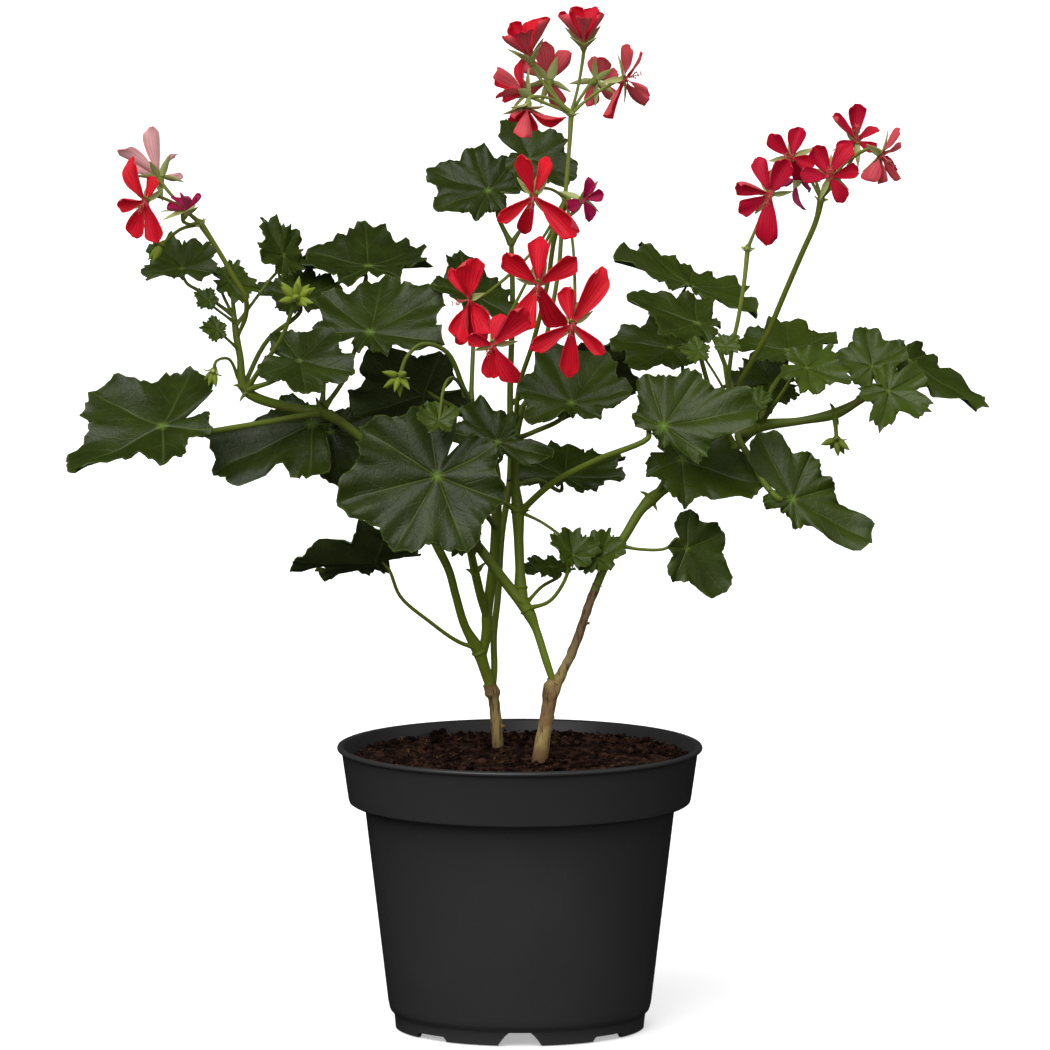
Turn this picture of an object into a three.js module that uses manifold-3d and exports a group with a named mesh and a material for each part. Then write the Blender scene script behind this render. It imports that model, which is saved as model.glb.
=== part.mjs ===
// A potted ivy geranium: a black nursery pot of soil that holds two rooted plants in flower.
// Millimetres, +Z up. The front is -Y.
import * as THREE from 'three';
import { mergeVertices } from 'three/addons/utils/BufferGeometryUtils.js';
import Module from 'manifold-3d';

const wasm = await Module();
wasm.setup();

// Driving dimensions
const RIM_DIAMETER = 150;
const POT_HEIGHT = 116.4;
const GAP = 0.3;
const LEAF_THICKNESS = 0.7;
const PETAL_THICKNESS = 0.6;
const BASE_SIDES = 8;
const STEM_SIDES = 6;
const THIN_SIDES = 4;
const SINUS_ANGLE = 168;
const SINUS_REACH = 0.2;
const LOBE_SHOULDER = 0.93;
const EVEN_LOBES = [0.65, 0.9, 1, 0.9, 0.65];
const PETIOLE_RADIUS = 1.1;
const PEDICEL_RADIUS = 0.7;
const KNOB_RADIUS = 2.1;
const SOIL_LEVEL = 111;
const ROOTING_DEPTH = 34;

// Places are read in a front view that looks slightly down: [across, up, back].
// A sight line rises by this much for each millimetre towards the back.
const SIGHT_SLOPE = 0.135;

const COLOURS = {
  pot: 0x1b1c1e,
  soil: 0x2c1d14,
  bark: 0x7a6248,
  leaf: 0x2c4a26,
  stalk: 0x66803f,
  red: 0xc8161d,
  pink: 0xd4666e,
  magenta: 0xa8123f,
};

// Basic helpers

function at([across, up, back]) {
  return new THREE.Vector3(across, back, up - SIGHT_SLOPE * back);
}

// The same place as a row of the tables
function asPlace(point) {
  return [point.x, point.z + SIGHT_SLOPE * point.y, point.y];
}

const radians = THREE.MathUtils.degToRad;

// A direction seen from the front: turn runs anticlockwise from the right, lean is towards the front.
function direction([turn, lean]) {
  const [t, l] = [radians(turn), radians(lean)];
  return new THREE.Vector3(Math.cos(l) * Math.cos(t), -Math.sin(l), Math.cos(l) * Math.sin(t));
}

// Repeatable draws in [0, 1)
function seededRandom(seed) {
  let state = seed;
  return () => {
    state = (state * 1664525 + 1013904223) % 4294967296;
    return state / 4294967296;
  };
}

function solidOf(geometry) {
  geometry.deleteAttribute('normal');
  geometry.deleteAttribute('uv');
  const merged = mergeVertices(geometry, 1e-4);
  return new wasm.Manifold(new wasm.Mesh({
    numProp: 3,
    vertProperties: new Float32Array(merged.attributes.position.array),
    triVerts: new Uint32Array(merged.index.array),
  }));
}

function geometryOf(solid) {
  const mesh = solid.getMesh();
  const geometry = new THREE.BufferGeometry();
  geometry.setAttribute('position', new THREE.BufferAttribute(mesh.vertProperties, 3));
  geometry.setIndex(new THREE.BufferAttribute(mesh.triVerts, 1));
  geometry.computeVertexNormals();
  return geometry;
}

function join(solids) {
  return solids.reduce((sum, solid) => sum.add(solid));
}

// A round limb along a path of [across, up, back, radius], closed at both ends.
function limb(path, { sides = STEM_SIDES, swell = 0 } = {}) {
  const curve = new THREE.CatmullRomCurve3(path.map(at), false, 'centripetal');
  const steps = path.length - 1;
  const side = new THREE.Vector3(0, 1, 0);
  if (Math.abs(curve.getTangent(0).y) > 0.8) {
    side.set(1, 0, 0);
  }
  const rings = path.map((place, i) => {
    const tangent = curve.getTangent(i / steps);
    side.addScaledVector(tangent, -side.dot(tangent)).normalize();
    return { centre: at(place), u: side.clone(), v: side.clone().cross(tangent), radius: place[3] + swell };
  });
  const geometry = new THREE.CylinderGeometry(1, 1, 1, sides, steps);
  const corners = geometry.attributes.position;
  for (let i = 0; i < corners.count; i += 1) {
    const ring = rings[Math.round((corners.getY(i) + 0.5) * steps)];
    const corner = ring.centre.clone()
      .addScaledVector(ring.u, corners.getX(i) * ring.radius)
      .addScaledVector(ring.v, corners.getZ(i) * ring.radius);
    corners.setXYZ(i, corner.x, corner.y, corner.z);
  }
  return solidOf(geometry);
}

// A thin blade: the sheet's points and upward normals, its triangles seen from above, and its rim,
// anticlockwise. Both faces are split alike.
function blade(points, normals, triangles, rim, thickness) {
  const count = points.length;
  const shifted = (way) => points.map((point, i) => (
    point.clone().addScaledVector(normals[i], way * thickness / 2)
  ));
  const index = [];
  for (const [a, b, c] of triangles) {
    index.push(a, b, c, count + a, count + c, count + b);
  }
  rim.forEach((a, i) => {
    const b = rim[(i + 1) % rim.length];
    index.push(a, count + a, count + b, a, count + b, b);
  });
  const geometry = new THREE.BufferGeometry().setFromPoints([...shifted(1), ...shifted(-1)]);
  geometry.setIndex(index);
  return solidOf(geometry);
}

// Leaves

// The lobed outline round a leaf's hub, as [angle from the tip, reach], with the sinus at the back.
// reach holds a length for each lobe, round the hub.
function lobedOutline(reach, cut, fine) {
  const spacing = 2 * SINUS_ANGLE / reach.length;
  const shares = fine ? [[-0.5, 1 - cut], [-0.26, LOBE_SHOULDER], [0, 1], [0.26, LOBE_SHOULDER]]
    : [[-0.5, 1 - cut], [-0.2, 1], [0.2, 1]];
  const outline = [];
  reach.forEach((length, k) => {
    const before = k ? (length + reach[k - 1]) / 2 : length;
    for (const [offset, share] of shares) {
      const far = share * (offset === -0.5 ? before : length);
      outline.push([(k + 0.5 + offset) * spacing - SINUS_ANGLE, far]);
    }
  });
  outline.push([SINUS_ANGLE, (1 - cut) * reach[reach.length - 1]]);
  outline.push([180, SINUS_REACH]);
  return outline;
}

// The upward face, the tip's direction and the side that go with a tip seen at an angle.
function leafAxes(tip, face) {
  const normal = direction(face);
  const depth = Math.sign(normal.y || -1) * Math.max(Math.abs(normal.y), 0.08);
  const [c, s] = [Math.cos(radians(tip)), Math.sin(radians(tip))];
  const along = new THREE.Vector3(c, -(c * normal.x + s * normal.z) / depth, s);
  along.addScaledVector(normal, -along.dot(normal)).normalize();
  return { normal, along, side: normal.clone().cross(along) };
}

// hub: where the petiole meets the blade. tip: the angle of its middle lobe, seen from the front.
// face: the direction that its upper side looks. size: hub to tip. petiole: its path up to the hub.
function leaf({
  hub, tip, face, size, petiole, radius = PETIOLE_RADIUS, reach = EVEN_LOBES, cut = 0.24,
  cup = 0.1, wave = 0.06, fold = 0, fine = true, seed = 1,
}) {
  const { normal, along, side } = leafAxes(tip, face);
  const centre = at(hub);
  const phase = 2 * Math.PI * seededRandom(seed * 7919 + Math.round(size * 13))();
  const outline = lobedOutline(reach, cut, fine);
  const place = ([angle, far]) => {
    const turn = radians(angle);
    const waved = far * far * (cup + wave * Math.cos(3 * turn + phase));
    const rise = waved + fold * far * Math.abs(Math.sin(turn));
    return centre.clone()
      .addScaledVector(along, size * far * Math.cos(turn))
      .addScaledVector(side, size * far * Math.sin(turn))
      .addScaledVector(normal, size * rise);
  };
  const points = [centre, ...outline.map(place)];
  const rim = outline.map((_, i) => 1 + i);
  const triangles = rim.map((a, i) => [0, a, rim[(i + 1) % rim.length]]);
  const sheet = blade(points, points.map(() => normal), triangles, rim, LEAF_THICKNESS);
  return petiole ? sheet.add(petioleTo(hub, { normal, along, side }, petiole, radius, size)) : sheet;
}

// A petiole comes up from under the blade, and ends in it just behind the hub.
function petioleTo(hub, { normal, along, side }, route, radius, size) {
  const end = at(hub)
    .addScaledVector(along, -0.07 * size)
    .addScaledVector(side, 0.04 * size)
    .addScaledVector(normal, 0.15);
  const drop = Math.min(5, size * 0.25);
  const under = end.clone().addScaledVector(normal, -0.8 * drop).addScaledVector(along, -0.6 * drop);
  const path = [...route, asPlace(under)].map((place, i) => [...place, radius * (1.1 - 0.06 * i)]);
  return limb([...path, [...asPlace(end), 0.5 * radius]], { sides: THIN_SIDES });
}

// Buds are pointed and five-sided, and stand round the end of a short stalk.
function bud(foot, pointing, length, width) {
  const profile = [[0, 0], [1, 0.4], [0, 1]]
    .map(([r, h]) => new THREE.Vector2(r * width / 2, h * length));
  const geometry = new THREE.LatheGeometry(profile, 5);
  const turn = new THREE.Quaternion().setFromUnitVectors(new THREE.Vector3(0, 1, 0), pointing);
  geometry.applyQuaternion(turn);
  geometry.translate(foot.x, foot.y, foot.z);
  return solidOf(geometry);
}

// The swollen end that carries buds or pedicels
function knobAt(middle) {
  const knob = new THREE.OctahedronGeometry(KNOB_RADIUS);
  knob.translate(middle.x, middle.y, middle.z);
  return solidOf(knob);
}

function budCluster({ centre, stalk, pointing, count, length = 8, width = 3.6, spread = 62 }) {
  const axis = direction(pointing);
  const middle = at(centre);
  const across = new THREE.Vector3(0.3, 1, 0.2).cross(axis).normalize();
  const solids = [knobAt(middle), limb([...stalk, [...centre, 0.8]], { sides: THIN_SIDES })];
  for (let k = 0; k < count; k += 1) {
    const tilt = radians(k === 0 ? 0 : spread * (0.7 + 0.45 * (k % 2)));
    const way = axis.clone().applyAxisAngle(across, tilt).applyAxisAngle(axis, k * 2.4);
    solids.push(bud(middle.clone().addScaledVector(way, 0.9), way, length, width));
  }
  return join(solids);
}

// A stipule is a short thorn beside a joint.
function stipule([across, up, back], turn, length = 5) {
  const way = direction([turn, 20]);
  const end = [across + way.x * length, up + way.z * length, back + way.y * length];
  return limb([[across, up, back, 1.1], [...end, 0.25]], { sides: 3 });
}

// Pot

const rimRadius = RIM_DIAMETER / 2;
const POT_OUTSIDE = [
  [51.4, 0], [51.7, 5.3], [53.4, 7.4], [54.1, 10.7], [63.9, 92.8], [68.4, 92.8], [70.1, 94.2],
  [73.1, 114.2], [rimRadius - 0.3, 114.6], [rimRadius, 115.6], [rimRadius - 0.7, POT_HEIGHT],
  [rimRadius - 2.2, POT_HEIGHT],
];
const POT_INSIDE = [[rimRadius - 3.2, 115.2], [68.6, 95.6], [62.5, 92.2], [52.3, 9.6], [0, 7.6]];
const POT_FOOT = [[0, 5.4], [49.8, 5.4], [49.6, 0]];
const POT_SEGMENTS = 32;
const DRAIN_WIDTH = 17.9;
const DRAIN_TOP_WIDTH = 9.6;
const DRAIN_HEIGHT = 5.4;
const NOTCH_HEIGHT = 2;

function lathe(profile, segments) {
  const geometry = new THREE.LatheGeometry(profile.map(([r, z]) => new THREE.Vector2(r, z)), segments);
  geometry.rotateX(Math.PI / 2);
  return geometry;
}

// An opening cut radially through the foot, its outline drawn across and up.
function footCut(outline, turn) {
  const shape = new THREE.Shape(outline.map(([x, z]) => new THREE.Vector2(x, z)));
  const geometry = new THREE.ExtrudeGeometry(shape, { depth: 14, bevelEnabled: false });
  geometry.rotateX(Math.PI / 2);
  geometry.translate(0, -42, 0);
  geometry.rotateZ(radians(turn));
  return solidOf(geometry);
}

function makePot() {
  let pot = solidOf(lathe([...POT_FOOT, ...POT_OUTSIDE, ...POT_INSIDE], POT_SEGMENTS));
  const [wide, narrow] = [DRAIN_WIDTH / 2, DRAIN_TOP_WIDTH / 2];
  const drain = [[-wide, -1], [wide, -1], [wide, 0.4], [wide - 2, 3], [narrow, DRAIN_HEIGHT + 0.6],
    [-narrow, DRAIN_HEIGHT + 0.6], [2 - wide, 3], [-wide, 0.4]];
  const notch = [[-8, -1], [8, -1], [7, NOTCH_HEIGHT], [-7, NOTCH_HEIGHT]];
  for (const turn of [0, 90, 180, 270]) {
    pot = pot.subtract(footCut(drain, turn)).subtract(footCut(notch, turn + 45));
  }
  return pot;
}

// Woody bases: each is rooted in the soil and ends in a swollen joint.

const BASE_LEFT = [[-8, 116 - ROOTING_DEPTH, 20, 2.4], [-9, 116, 20, 2.5], [-10.7, 134.6, 19, 2.4],
  [-11.3, 138, 19, 3.4], [-12.4, 141.5, 18.5, 2.9]];
const BASE_RIGHT = [[6.5, 110 - ROOTING_DEPTH, -18, 3.2], [8.2, 110, -18, 3.4], [10.3, 124, -17, 3.2],
  [13, 137.5, -16, 3.5], [15.6, 143.5, -16, 3.4], [20.5, 153, -15, 2.2], [24.6, 163.5, -14, 2.1],
  [28.7, 176, -13, 2.1], [31.6, 183, -12.5, 2.2]];

// Soil

const SOIL_SEGMENTS = 28;
const SOIL_RINGS = [64, 52, 39, 26, 13, 0];
const SOIL_ROUGHNESS = 2.2;
// Soft rises and dips of the surface: [x, y, height, spread]
const SOIL_HEAPS = [[30, 34, 1.6, 26], [-55, 0, -1.2, 17]];

// The pot's inner wall, as a radius that the soil can reach at a height
function soilReach(z) {
  return THREE.MathUtils.mapLinear(z, 9.6, 92.2, 52.3, 62.5) - 1.5 * GAP;
}

function makeSoil() {
  const random = seededRandom(41);
  const profile = [
    [0, 7.6 + GAP + 2], [soilReach(10.2), 10.2], [soilReach(92.6) - 0.1, 92.6], [67.3, 96.4],
    [70.2, SOIL_LEVEL - 1.5], ...SOIL_RINGS.map((radius) => [radius, SOIL_LEVEL]),
  ];
  const geometry = lathe(profile, SOIL_SEGMENTS);
  const corners = geometry.attributes.position;
  const lumps = new Map();
  for (let i = 0; i < corners.count; i += 1) {
    const [x, y, z] = [corners.getX(i), corners.getY(i), corners.getZ(i)];
    if (z < SOIL_LEVEL - 0.5) {
      continue;
    }
    const key = `${Math.round(x * 100)},${Math.round(y * 100)}`;
    if (!lumps.has(key)) {
      lumps.set(key, SOIL_ROUGHNESS * (random() - 0.5));
    }
    const heaps = SOIL_HEAPS.map(([u, v, height, spread]) => (
      height * Math.exp(-((x - u) ** 2 + (y - v) ** 2) / spread ** 2)
    ));
    corners.setZ(i, z + lumps.get(key) + heaps.reduce((sum, height) => sum + height));
  }
  const holes = [BASE_LEFT, BASE_RIGHT].map((path) => limb(path, { sides: BASE_SIDES, swell: GAP }));
  return solidOf(geometry).subtract(join(holes));
}

// Green shoots. Each has stems of [across, up, back, radius], leaves, and its buds and stipules.

const SHOOTS = {
  shoot_left: {
    base: BASE_LEFT,
    stems: [
      [[-11.6, 139, 19, 2.3], [-14.8, 149, 18, 2.6], [-16.8, 155, 17, 3], [-22.5, 165.5, 13, 2],
        [-26.2, 178, 9, 1.9], [-29, 188.5, 6, 1.9], [-33, 197, 4, 2], [-41, 212, 4, 1.9],
        [-54, 232, 6, 1.8], [-69, 247, 8, 1.9], [-82, 254.5, 6, 2.6], [-91, 255.5, 6, 2.1],
        [-112, 263, 4, 2.3], [-114.4, 277, 4, 1.6], [-116, 286, 5, 1.6], [-117.5, 301, 7, 0.9]],
    ],
    leaves: [
      { hub: [-146, 248, -8], tip: 204, face: [105, 28], size: 43, radius: 1.35, seed: 3,
        petiole: [[-82, 254, 5], [-115, 248, -2], [-134, 245.5, -8]],
        reach: [0.85, 0.9, 1, 0.62, 0.5], cut: 0.28, wave: 0.1 },
      { hub: [-90, 275, -8], tip: -12, face: [85, 38], size: 22, fine: false, seed: 5,
        petiole: [[-111, 263.5, 3], [-99, 268, -3]], reach: [0.85, 0.95, 1.05, 1, 0.8] },
      { hub: [-61.5, 287, 14], tip: 22, face: [95, 33], size: 35, seed: 7,
        petiole: [[-80, 256, 6], [-72, 268, 16]],
        reach: [0.35, 0.45, 0.9, 1, 0.95, 0.9, 0.65], cut: 0.18 },
      { hub: [-62.5, 315, 56], tip: 100, face: [92, 14], size: 35, seed: 9,
        petiole: [[-81, 257, 7], [-78, 282, 46]],
        reach: [0.6, 0.72, 0.85, 1, 0.95, 0.95, 0.6], cut: 0.2, wave: 0.1 },
      { hub: [-90, 302, 44], tip: 100, face: [90, 30], size: 20, fine: false,
        petiole: [[-113, 265, 4], [-103, 285, 34]] },
      { hub: [-138, 313, 2], tip: 140, face: [95, 32], size: 20, radius: 0.8, fine: false,
        petiole: [[-117, 294, 6], [-131, 304, 3]], reach: [0.75, 0.9, 1.05, 0.8, 0.3] },
      { hub: [-119, 308, 9], tip: -15, face: [60, 35], size: 13, radius: 0.7, fine: false,
        petiole: [[-116.5, 292, 5]] },
      { hub: [-97, 319, 20], tip: 118, face: [30, 35], size: 17, radius: 0.7, fine: false,
        petiole: [[-116, 290, 5], [-103, 308, 16]] },
      { hub: [-85, 249.5, 14], tip: 205, face: [110, 45], size: 44, seed: 13,
        petiole: [[-82, 254, 7]], reach: [0.2, 0.45, 1, 0.65, 0.2], cut: 0.33, wave: 0.1 },
      { hub: [-78, 246, 40], tip: 285, face: [90, 45], size: 28, fine: false, seed: 15,
        petiole: [[-79, 253, 7.5], [-75, 252, 28]], reach: [0.5, 0.85, 1, 1, 0.5] },
      { hub: [-59.5, 192, 0], tip: 172, face: [100, -26], size: 38, radius: 0.95, seed: 17,
        petiole: [[-17.5, 156.5, 16], [-25, 159, 12], [-37, 167.5, 6], [-49, 178, 2]],
        reach: [0.35, 0.7, 1, 0.9, 0.5], cut: 0.35, wave: 0.12 },
      { hub: [-127, 300, -4], tip: 150, face: [70, 50], size: 6.5, radius: 0.6, fine: false,
        petiole: [[-116.5, 291, 5]] },
      { hub: [-123.5, 288, -6], tip: 170, face: [60, 50], size: 7, radius: 0.6, fine: false,
        petiole: [[-115, 280, 4]] },
    ],
    buds: [
      { centre: [-91.4, 300.5, -14], pointing: [85, 35], count: 8, length: 8.5,
        stalk: [[-112, 263, 4, 1.2], [-106, 272, -2, 1], [-97, 285, -9, 0.9]] },
      { centre: [-125, 271, -4], pointing: [250, 10], count: 3, length: 6, width: 2.6, spread: 40,
        stalk: [[-115, 268, 4, 0.7], [-119, 276, 0, 0.6], [-124, 275, -4, 0.6]] },
    ],
    stipules: [[[-114, 264, 4], 100], [[-113, 264, 3], 165], [[-112, 262, 3], 235],
      [[-82, 256, 5], 110]],
  },
  shoot_middle: {
    base: BASE_LEFT,
    beside: 'shoot_left',
    stems: [
      [[-15.6, 152.5, 17.6, 2], [-13.6, 163, 16.5, 2.4], [-13.5, 170, 16, 2.4], [-12, 182, 16, 2.3],
        [-10.4, 194.5, 16, 2.4], [-9.6, 211, 16, 2.3], [-9.6, 228, 16, 2], [-14, 246, 14, 1.6],
        [-22, 262, 10, 1.2]],
      [[-13.5, 169, 16, 1.8], [-16, 178, 11, 2], [-18, 186.5, 7, 2], [-20, 196, 4, 1.8],
        [-22, 208, 0, 1.1]],
    ],
    leaves: [
      { hub: [-33.5, 227.5, -42], tip: 240, face: [95, 66], size: 42, radius: 1.4, cup: 0.08, seed: 21,
        petiole: [[-9.8, 207, 16], [-16, 214, -4], [-27, 223, -28]],
        reach: [0.76, 0.88, 1, 0.87, 0.82, 0.71, 0.64], cut: 0.16 },
      { hub: [-22.5, 203, -20], tip: 235, face: [60, 45], size: 11, radius: 0.7, fine: false,
        petiole: [[-18.3, 188, 6]] },
      { hub: [-33, 250, -45], tip: 100, face: [85, 50], size: 10, radius: 0.8, fine: false, seed: 4,
        petiole: [[-19, 256, 11], [-27, 268, -20], [-31, 263, -40]], wave: 0.2 },
      { hub: [-18, 302, 28], tip: 120, face: [70, 28], size: 24, radius: 1, fine: false, seed: 23,
        petiole: [[-20, 259, 11], [-19, 285, 24]], reach: [0.8, 0.7, 1, 0.8, 0.5] },
    ],
    buds: [
      { centre: [-49, 269, -6], pointing: [250, 40], count: 7, length: 8, width: 3,
        stalk: [[-22, 261, 10, 1.1], [-30, 279, 2, 1], [-40, 282, -3, 0.9], [-46, 277, -5, 0.8]] },
    ],
    stipules: [[[-18.5, 187, 6], 150], [[-17, 189, 6], 40]],
  },
  shoot_back: {
    base: BASE_LEFT,
    beside: 'shoot_left',
    stems: [
      [[-11, 139, 19.5, 1.3], [-10.5, 148, 26, 1.5], [-10.7, 161.5, 29, 1.5], [-9, 178, 32, 1.5],
        [-7.5, 203, 37, 1.5], [-4, 228, 40, 1.5], [-4, 262, 44, 1.4], [-3, 300, 46, 1.2],
        [-3.5, 325, 44, 1.1]],
    ],
    leaves: [
      { hub: [-13, 346, 42], tip: 165, face: [98, 42], size: 28, seed: 31,
        petiole: [[-3.5, 324, 44], [-9, 336, 45]],
        reach: [0.6, 0.7, 0.85, 1, 0.85, 0.55, 0.45], cut: 0.2 },
      { hub: [4, 359, 40], tip: -20, face: [90, 50], size: 21, radius: 0.9, seed: 33,
        petiole: [[-3.5, 324, 44], [5, 340, 47]], reach: [0.5, 0.8, 1, 0.85, 1] },
      { hub: [-40, 262, 68], tip: 200, face: [80, -55], size: 34, radius: 1, fine: false, seed: 35,
        petiole: [[-6, 238, 41], [-20, 252, 56]] },
      { hub: [25, 270, 75], tip: -28, face: [100, -50], size: 29, radius: 1, fine: false, seed: 37,
        petiole: [[-4, 258, 44], [11, 266, 62]] },
    ],
  },
  shoot_low: {
    base: BASE_RIGHT,
    stems: [
      [[13.9, 142, -16, 1.6], [10.3, 153, -15, 1.8], [7, 163.5, -13, 1.8], [3, 172.5, -12, 3],
        [-6, 184, -10, 2.4], [-12.3, 192.5, -9, 2.3], [-18.5, 200.5, -8, 2.2], [-24, 206, -8, 2],
        [-31, 216, -6, 1.8], [-40, 232, -3, 1.5]],
      [[1.6, 174, -12, 2.4], [0.4, 181.5, -10, 2.8], [0, 190.5, -8, 2.1], [-0.4, 200.5, -6, 2.2],
        [-0.8, 213, -4, 2.8], [-2, 227.5, 0, 1.8], [-1.6, 244, 3, 1.8], [1, 257, 5, 1.8]],
    ],
    leaves: [
      { hub: [58.5, 248, -34], tip: 10, face: [95, 58], size: 40, radius: 1.5, seed: 41,
        petiole: [[-0.8, 212, -4], [13, 224.5, -14], [32, 234.5, -26], [52, 243, -34]],
        reach: [0.15, 0.25, 0.55, 1, 0.7, 0.6, 0.35], cut: 0.18 },
      { hub: [-9, 241.5, -18], tip: 130, face: [92, 40], size: 26, radius: 1.1, seed: 43,
        petiole: [[-0.8, 213, -5], [-8, 219, -8], [-10, 232, -13]],
        reach: [0.95, 0.35, 0.65, 0.95, 0.85, 0.45, 0.35] },
      { hub: [21, 257.5, -22], tip: 50, face: [92, 42], size: 30, radius: 1.2, seed: 45,
        petiole: [[-1.6, 243, 3], [6, 246, -8]], reach: [0.25, 0.5, 0.85, 1, 1, 0.8, 0.7], cut: 0.18 },
      { hub: [18.5, 227.5, 34], tip: 82, face: [90, 16], size: 31, radius: 1, fine: false, seed: 47,
        petiole: [[-1.6, 224, 0], [8, 226, 18]],
        reach: [0.6, 0.8, 0.95, 1, 0.95, 0.75, 0.5], cut: 0.18 },
      { hub: [21.5, 195, -22], tip: 100, face: [60, 40], size: 13, radius: 0.9, fine: false, fold: 0.3,
        petiole: [[3, 173, -13], [12, 176, -18], [18, 184, -21]] },
      { hub: [32, 193.5, -18], tip: 80, face: [110, 45], size: 14, radius: 0.7, fine: false, fold: 0.2,
        petiole: [[0, 213, -4], [10, 208, -10], [24, 197, -17]] },
      { hub: [13, 190, 6], tip: 185, face: [90, 14], size: 17, radius: 0.8, fine: false,
        petiole: [[2.5, 175, -10], [9, 182, -2]], reach: [0.6, 0.7, 0.8, 0.7, 0.6] },
    ],
    stipules: [[[-1, 214, -4], 160], [[0, 212, -4], 20], [[3, 174, -13], 150]],
  },
  shoot_right: {
    base: BASE_RIGHT,
    stems: [
      [[30.6, 180.5, -12.8, 2], [34.9, 190.5, -12, 2], [43, 203, -10, 2.1], [49, 213, -8, 2.2],
        [53.5, 218, -6, 2.9], [59.5, 222.5, -4, 2.2], [67.5, 227.5, 0, 2], [75, 229, 3, 2],
        [85, 236, 6, 2], [92.5, 244, 8, 2.1], [97.5, 248, 8, 2.8], [115, 250.5, 6, 1.8],
        [129, 253.5, 4, 2.5], [138.5, 258.5, 2, 1.7], [142.5, 261, 0, 1.4]],
    ],
    leaves: [
      { hub: [68, 198, -20], tip: 308, face: [20, 60], size: 24, radius: 0.75, fine: false, seed: 51,
        petiole: [[41, 199, -10], [49, 197.5, -12], [60, 198, -17]],
        reach: [0.35, 0.62, 1, 0.78, 0.65] },
      { hub: [66, 234, -14], tip: -20, face: [75, 48], size: 35, radius: 1.1, seed: 53,
        petiole: [[56, 220, -5], [60, 229, -10]], reach: [0.45, 0.6, 1, 0.7, 0.4], cut: 0.18 },
      { hub: [111, 218, -26], tip: 330, face: [60, 60], size: 36, radius: 1.6, seed: 55,
        petiole: [[93, 245.5, 6], [89, 244, -8], [95, 233.5, -20], [100.5, 223.5, -26], [106, 218, -28]],
        reach: [0.35, 0.2, 0.35, 1, 0.55, 0.6, 0.85], cut: 0.2 },
      { hub: [70, 307, 54], tip: 70, face: [68, 9], size: 34, radius: 1.1, seed: 59,
        petiole: [[91, 246, 8], [84, 275, 36], [74, 296, 52]],
        reach: [0.5, 0.9, 0.85, 0.85, 0.9, 1, 0.5], cut: 0.2 },
      { hub: [72.5, 290.5, 4], tip: 160, face: [75, 20], size: 31, radius: 1.1, seed: 61,
        petiole: [[88, 239.5, 7], [77, 266, 6], [73.5, 284, 4]], reach: [0.35, 0.7, 1, 0.75, 0.4] },
      { hub: [62, 281, 48], tip: 175, face: [95, 25], size: 26, radius: 0.9, fine: false,
        petiole: [[86, 237.5, 6], [68, 262, 36]] },
      { hub: [110.5, 280, 40], tip: 92, face: [92, 18], size: 27, radius: 1.1, fine: false, seed: 63,
        petiole: [[98, 249, 8], [103, 263, 28]], reach: [0.55, 0.8, 1, 0.85, 0.6] },
      { hub: [144, 273, 4], tip: 100, face: [90, 52], size: 18, radius: 0.9, fine: false, seed: 65,
        petiole: [[138, 258.5, 2]] },
      { hub: [159, 276, 20], tip: 322, face: [52, 18], size: 36, radius: 1, seed: 67,
        petiole: [[141, 260, 0.6], [151, 268, 14]], reach: [0.3, 0.55, 1, 0.55, 0.3] },
      { hub: [150.5, 262.5, -12], tip: -28, face: [92, 52], size: 19, radius: 0.9, fine: false, seed: 69,
        petiole: [[142, 260.5, 0]], cut: 0.42 },
      { hub: [117, 272, -10], tip: -15, face: [80, 35], size: 18, radius: 0.9, fine: false,
        petiole: [[98.5, 249, 7], [108, 263, -3]] },
      { hub: [104, 266, 62], tip: 182, face: [90, 40], size: 20, radius: 0.9, fine: false,
        petiole: [[98, 249, 9], [99, 256, 42]] },
      { hub: [73, 279, -12], tip: 170, face: [80, 45], size: 8, radius: 0.6, fine: false,
        petiole: [[90, 242, 7.5], [84, 262, -6]] },
      { hub: [84, 281, -14], tip: 40, face: [100, 45], size: 7, radius: 0.6, fine: false,
        petiole: [[90, 242, 7.5], [85, 262, -9]] },
      { hub: [97.5, 258, -2], tip: 90, face: [120, 60], size: 7, radius: 0.6, fine: false,
        petiole: [[97.5, 250, 7]] },
    ],
    buds: [
      { centre: [129.5, 243, -4], pointing: [275, 20], count: 5, length: 7, width: 3,
        stalk: [[129, 252, 3, 0.9]] },
    ],
    stipules: [[[53, 219, -6], 150], [[54, 217, -6], -60], [[55, 219, -6], 60], [[129, 254, 4], 120],
      [[129, 253, 3], -70]],
  },
};

// What a stem clears where it springs from thicker ones
function collar(paths, sides) {
  return join(paths.map((path) => limb(path, { sides, swell: GAP })));
}

function makeShoot({ base, beside, stems, leaves = [], buds = [], stipules = [] }) {
  const solids = [
    ...stems.map((path) => limb(path)),
    ...leaves.map(leaf),
    ...buds.map(budCluster),
    ...stipules.map(([place, turn]) => stipule(place, turn)),
  ];
  const shoot = join(solids).subtract(collar([base], BASE_SIDES));
  return beside ? shoot.subtract(collar(SHOOTS[beside].stems, STEM_SIDES)) : shoot;
}

// Umbels. Each has a stalk, and blooms on pedicels from the stalk's end.
// A bloom faces a direction, and its petals are [turn, lean, length].

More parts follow.
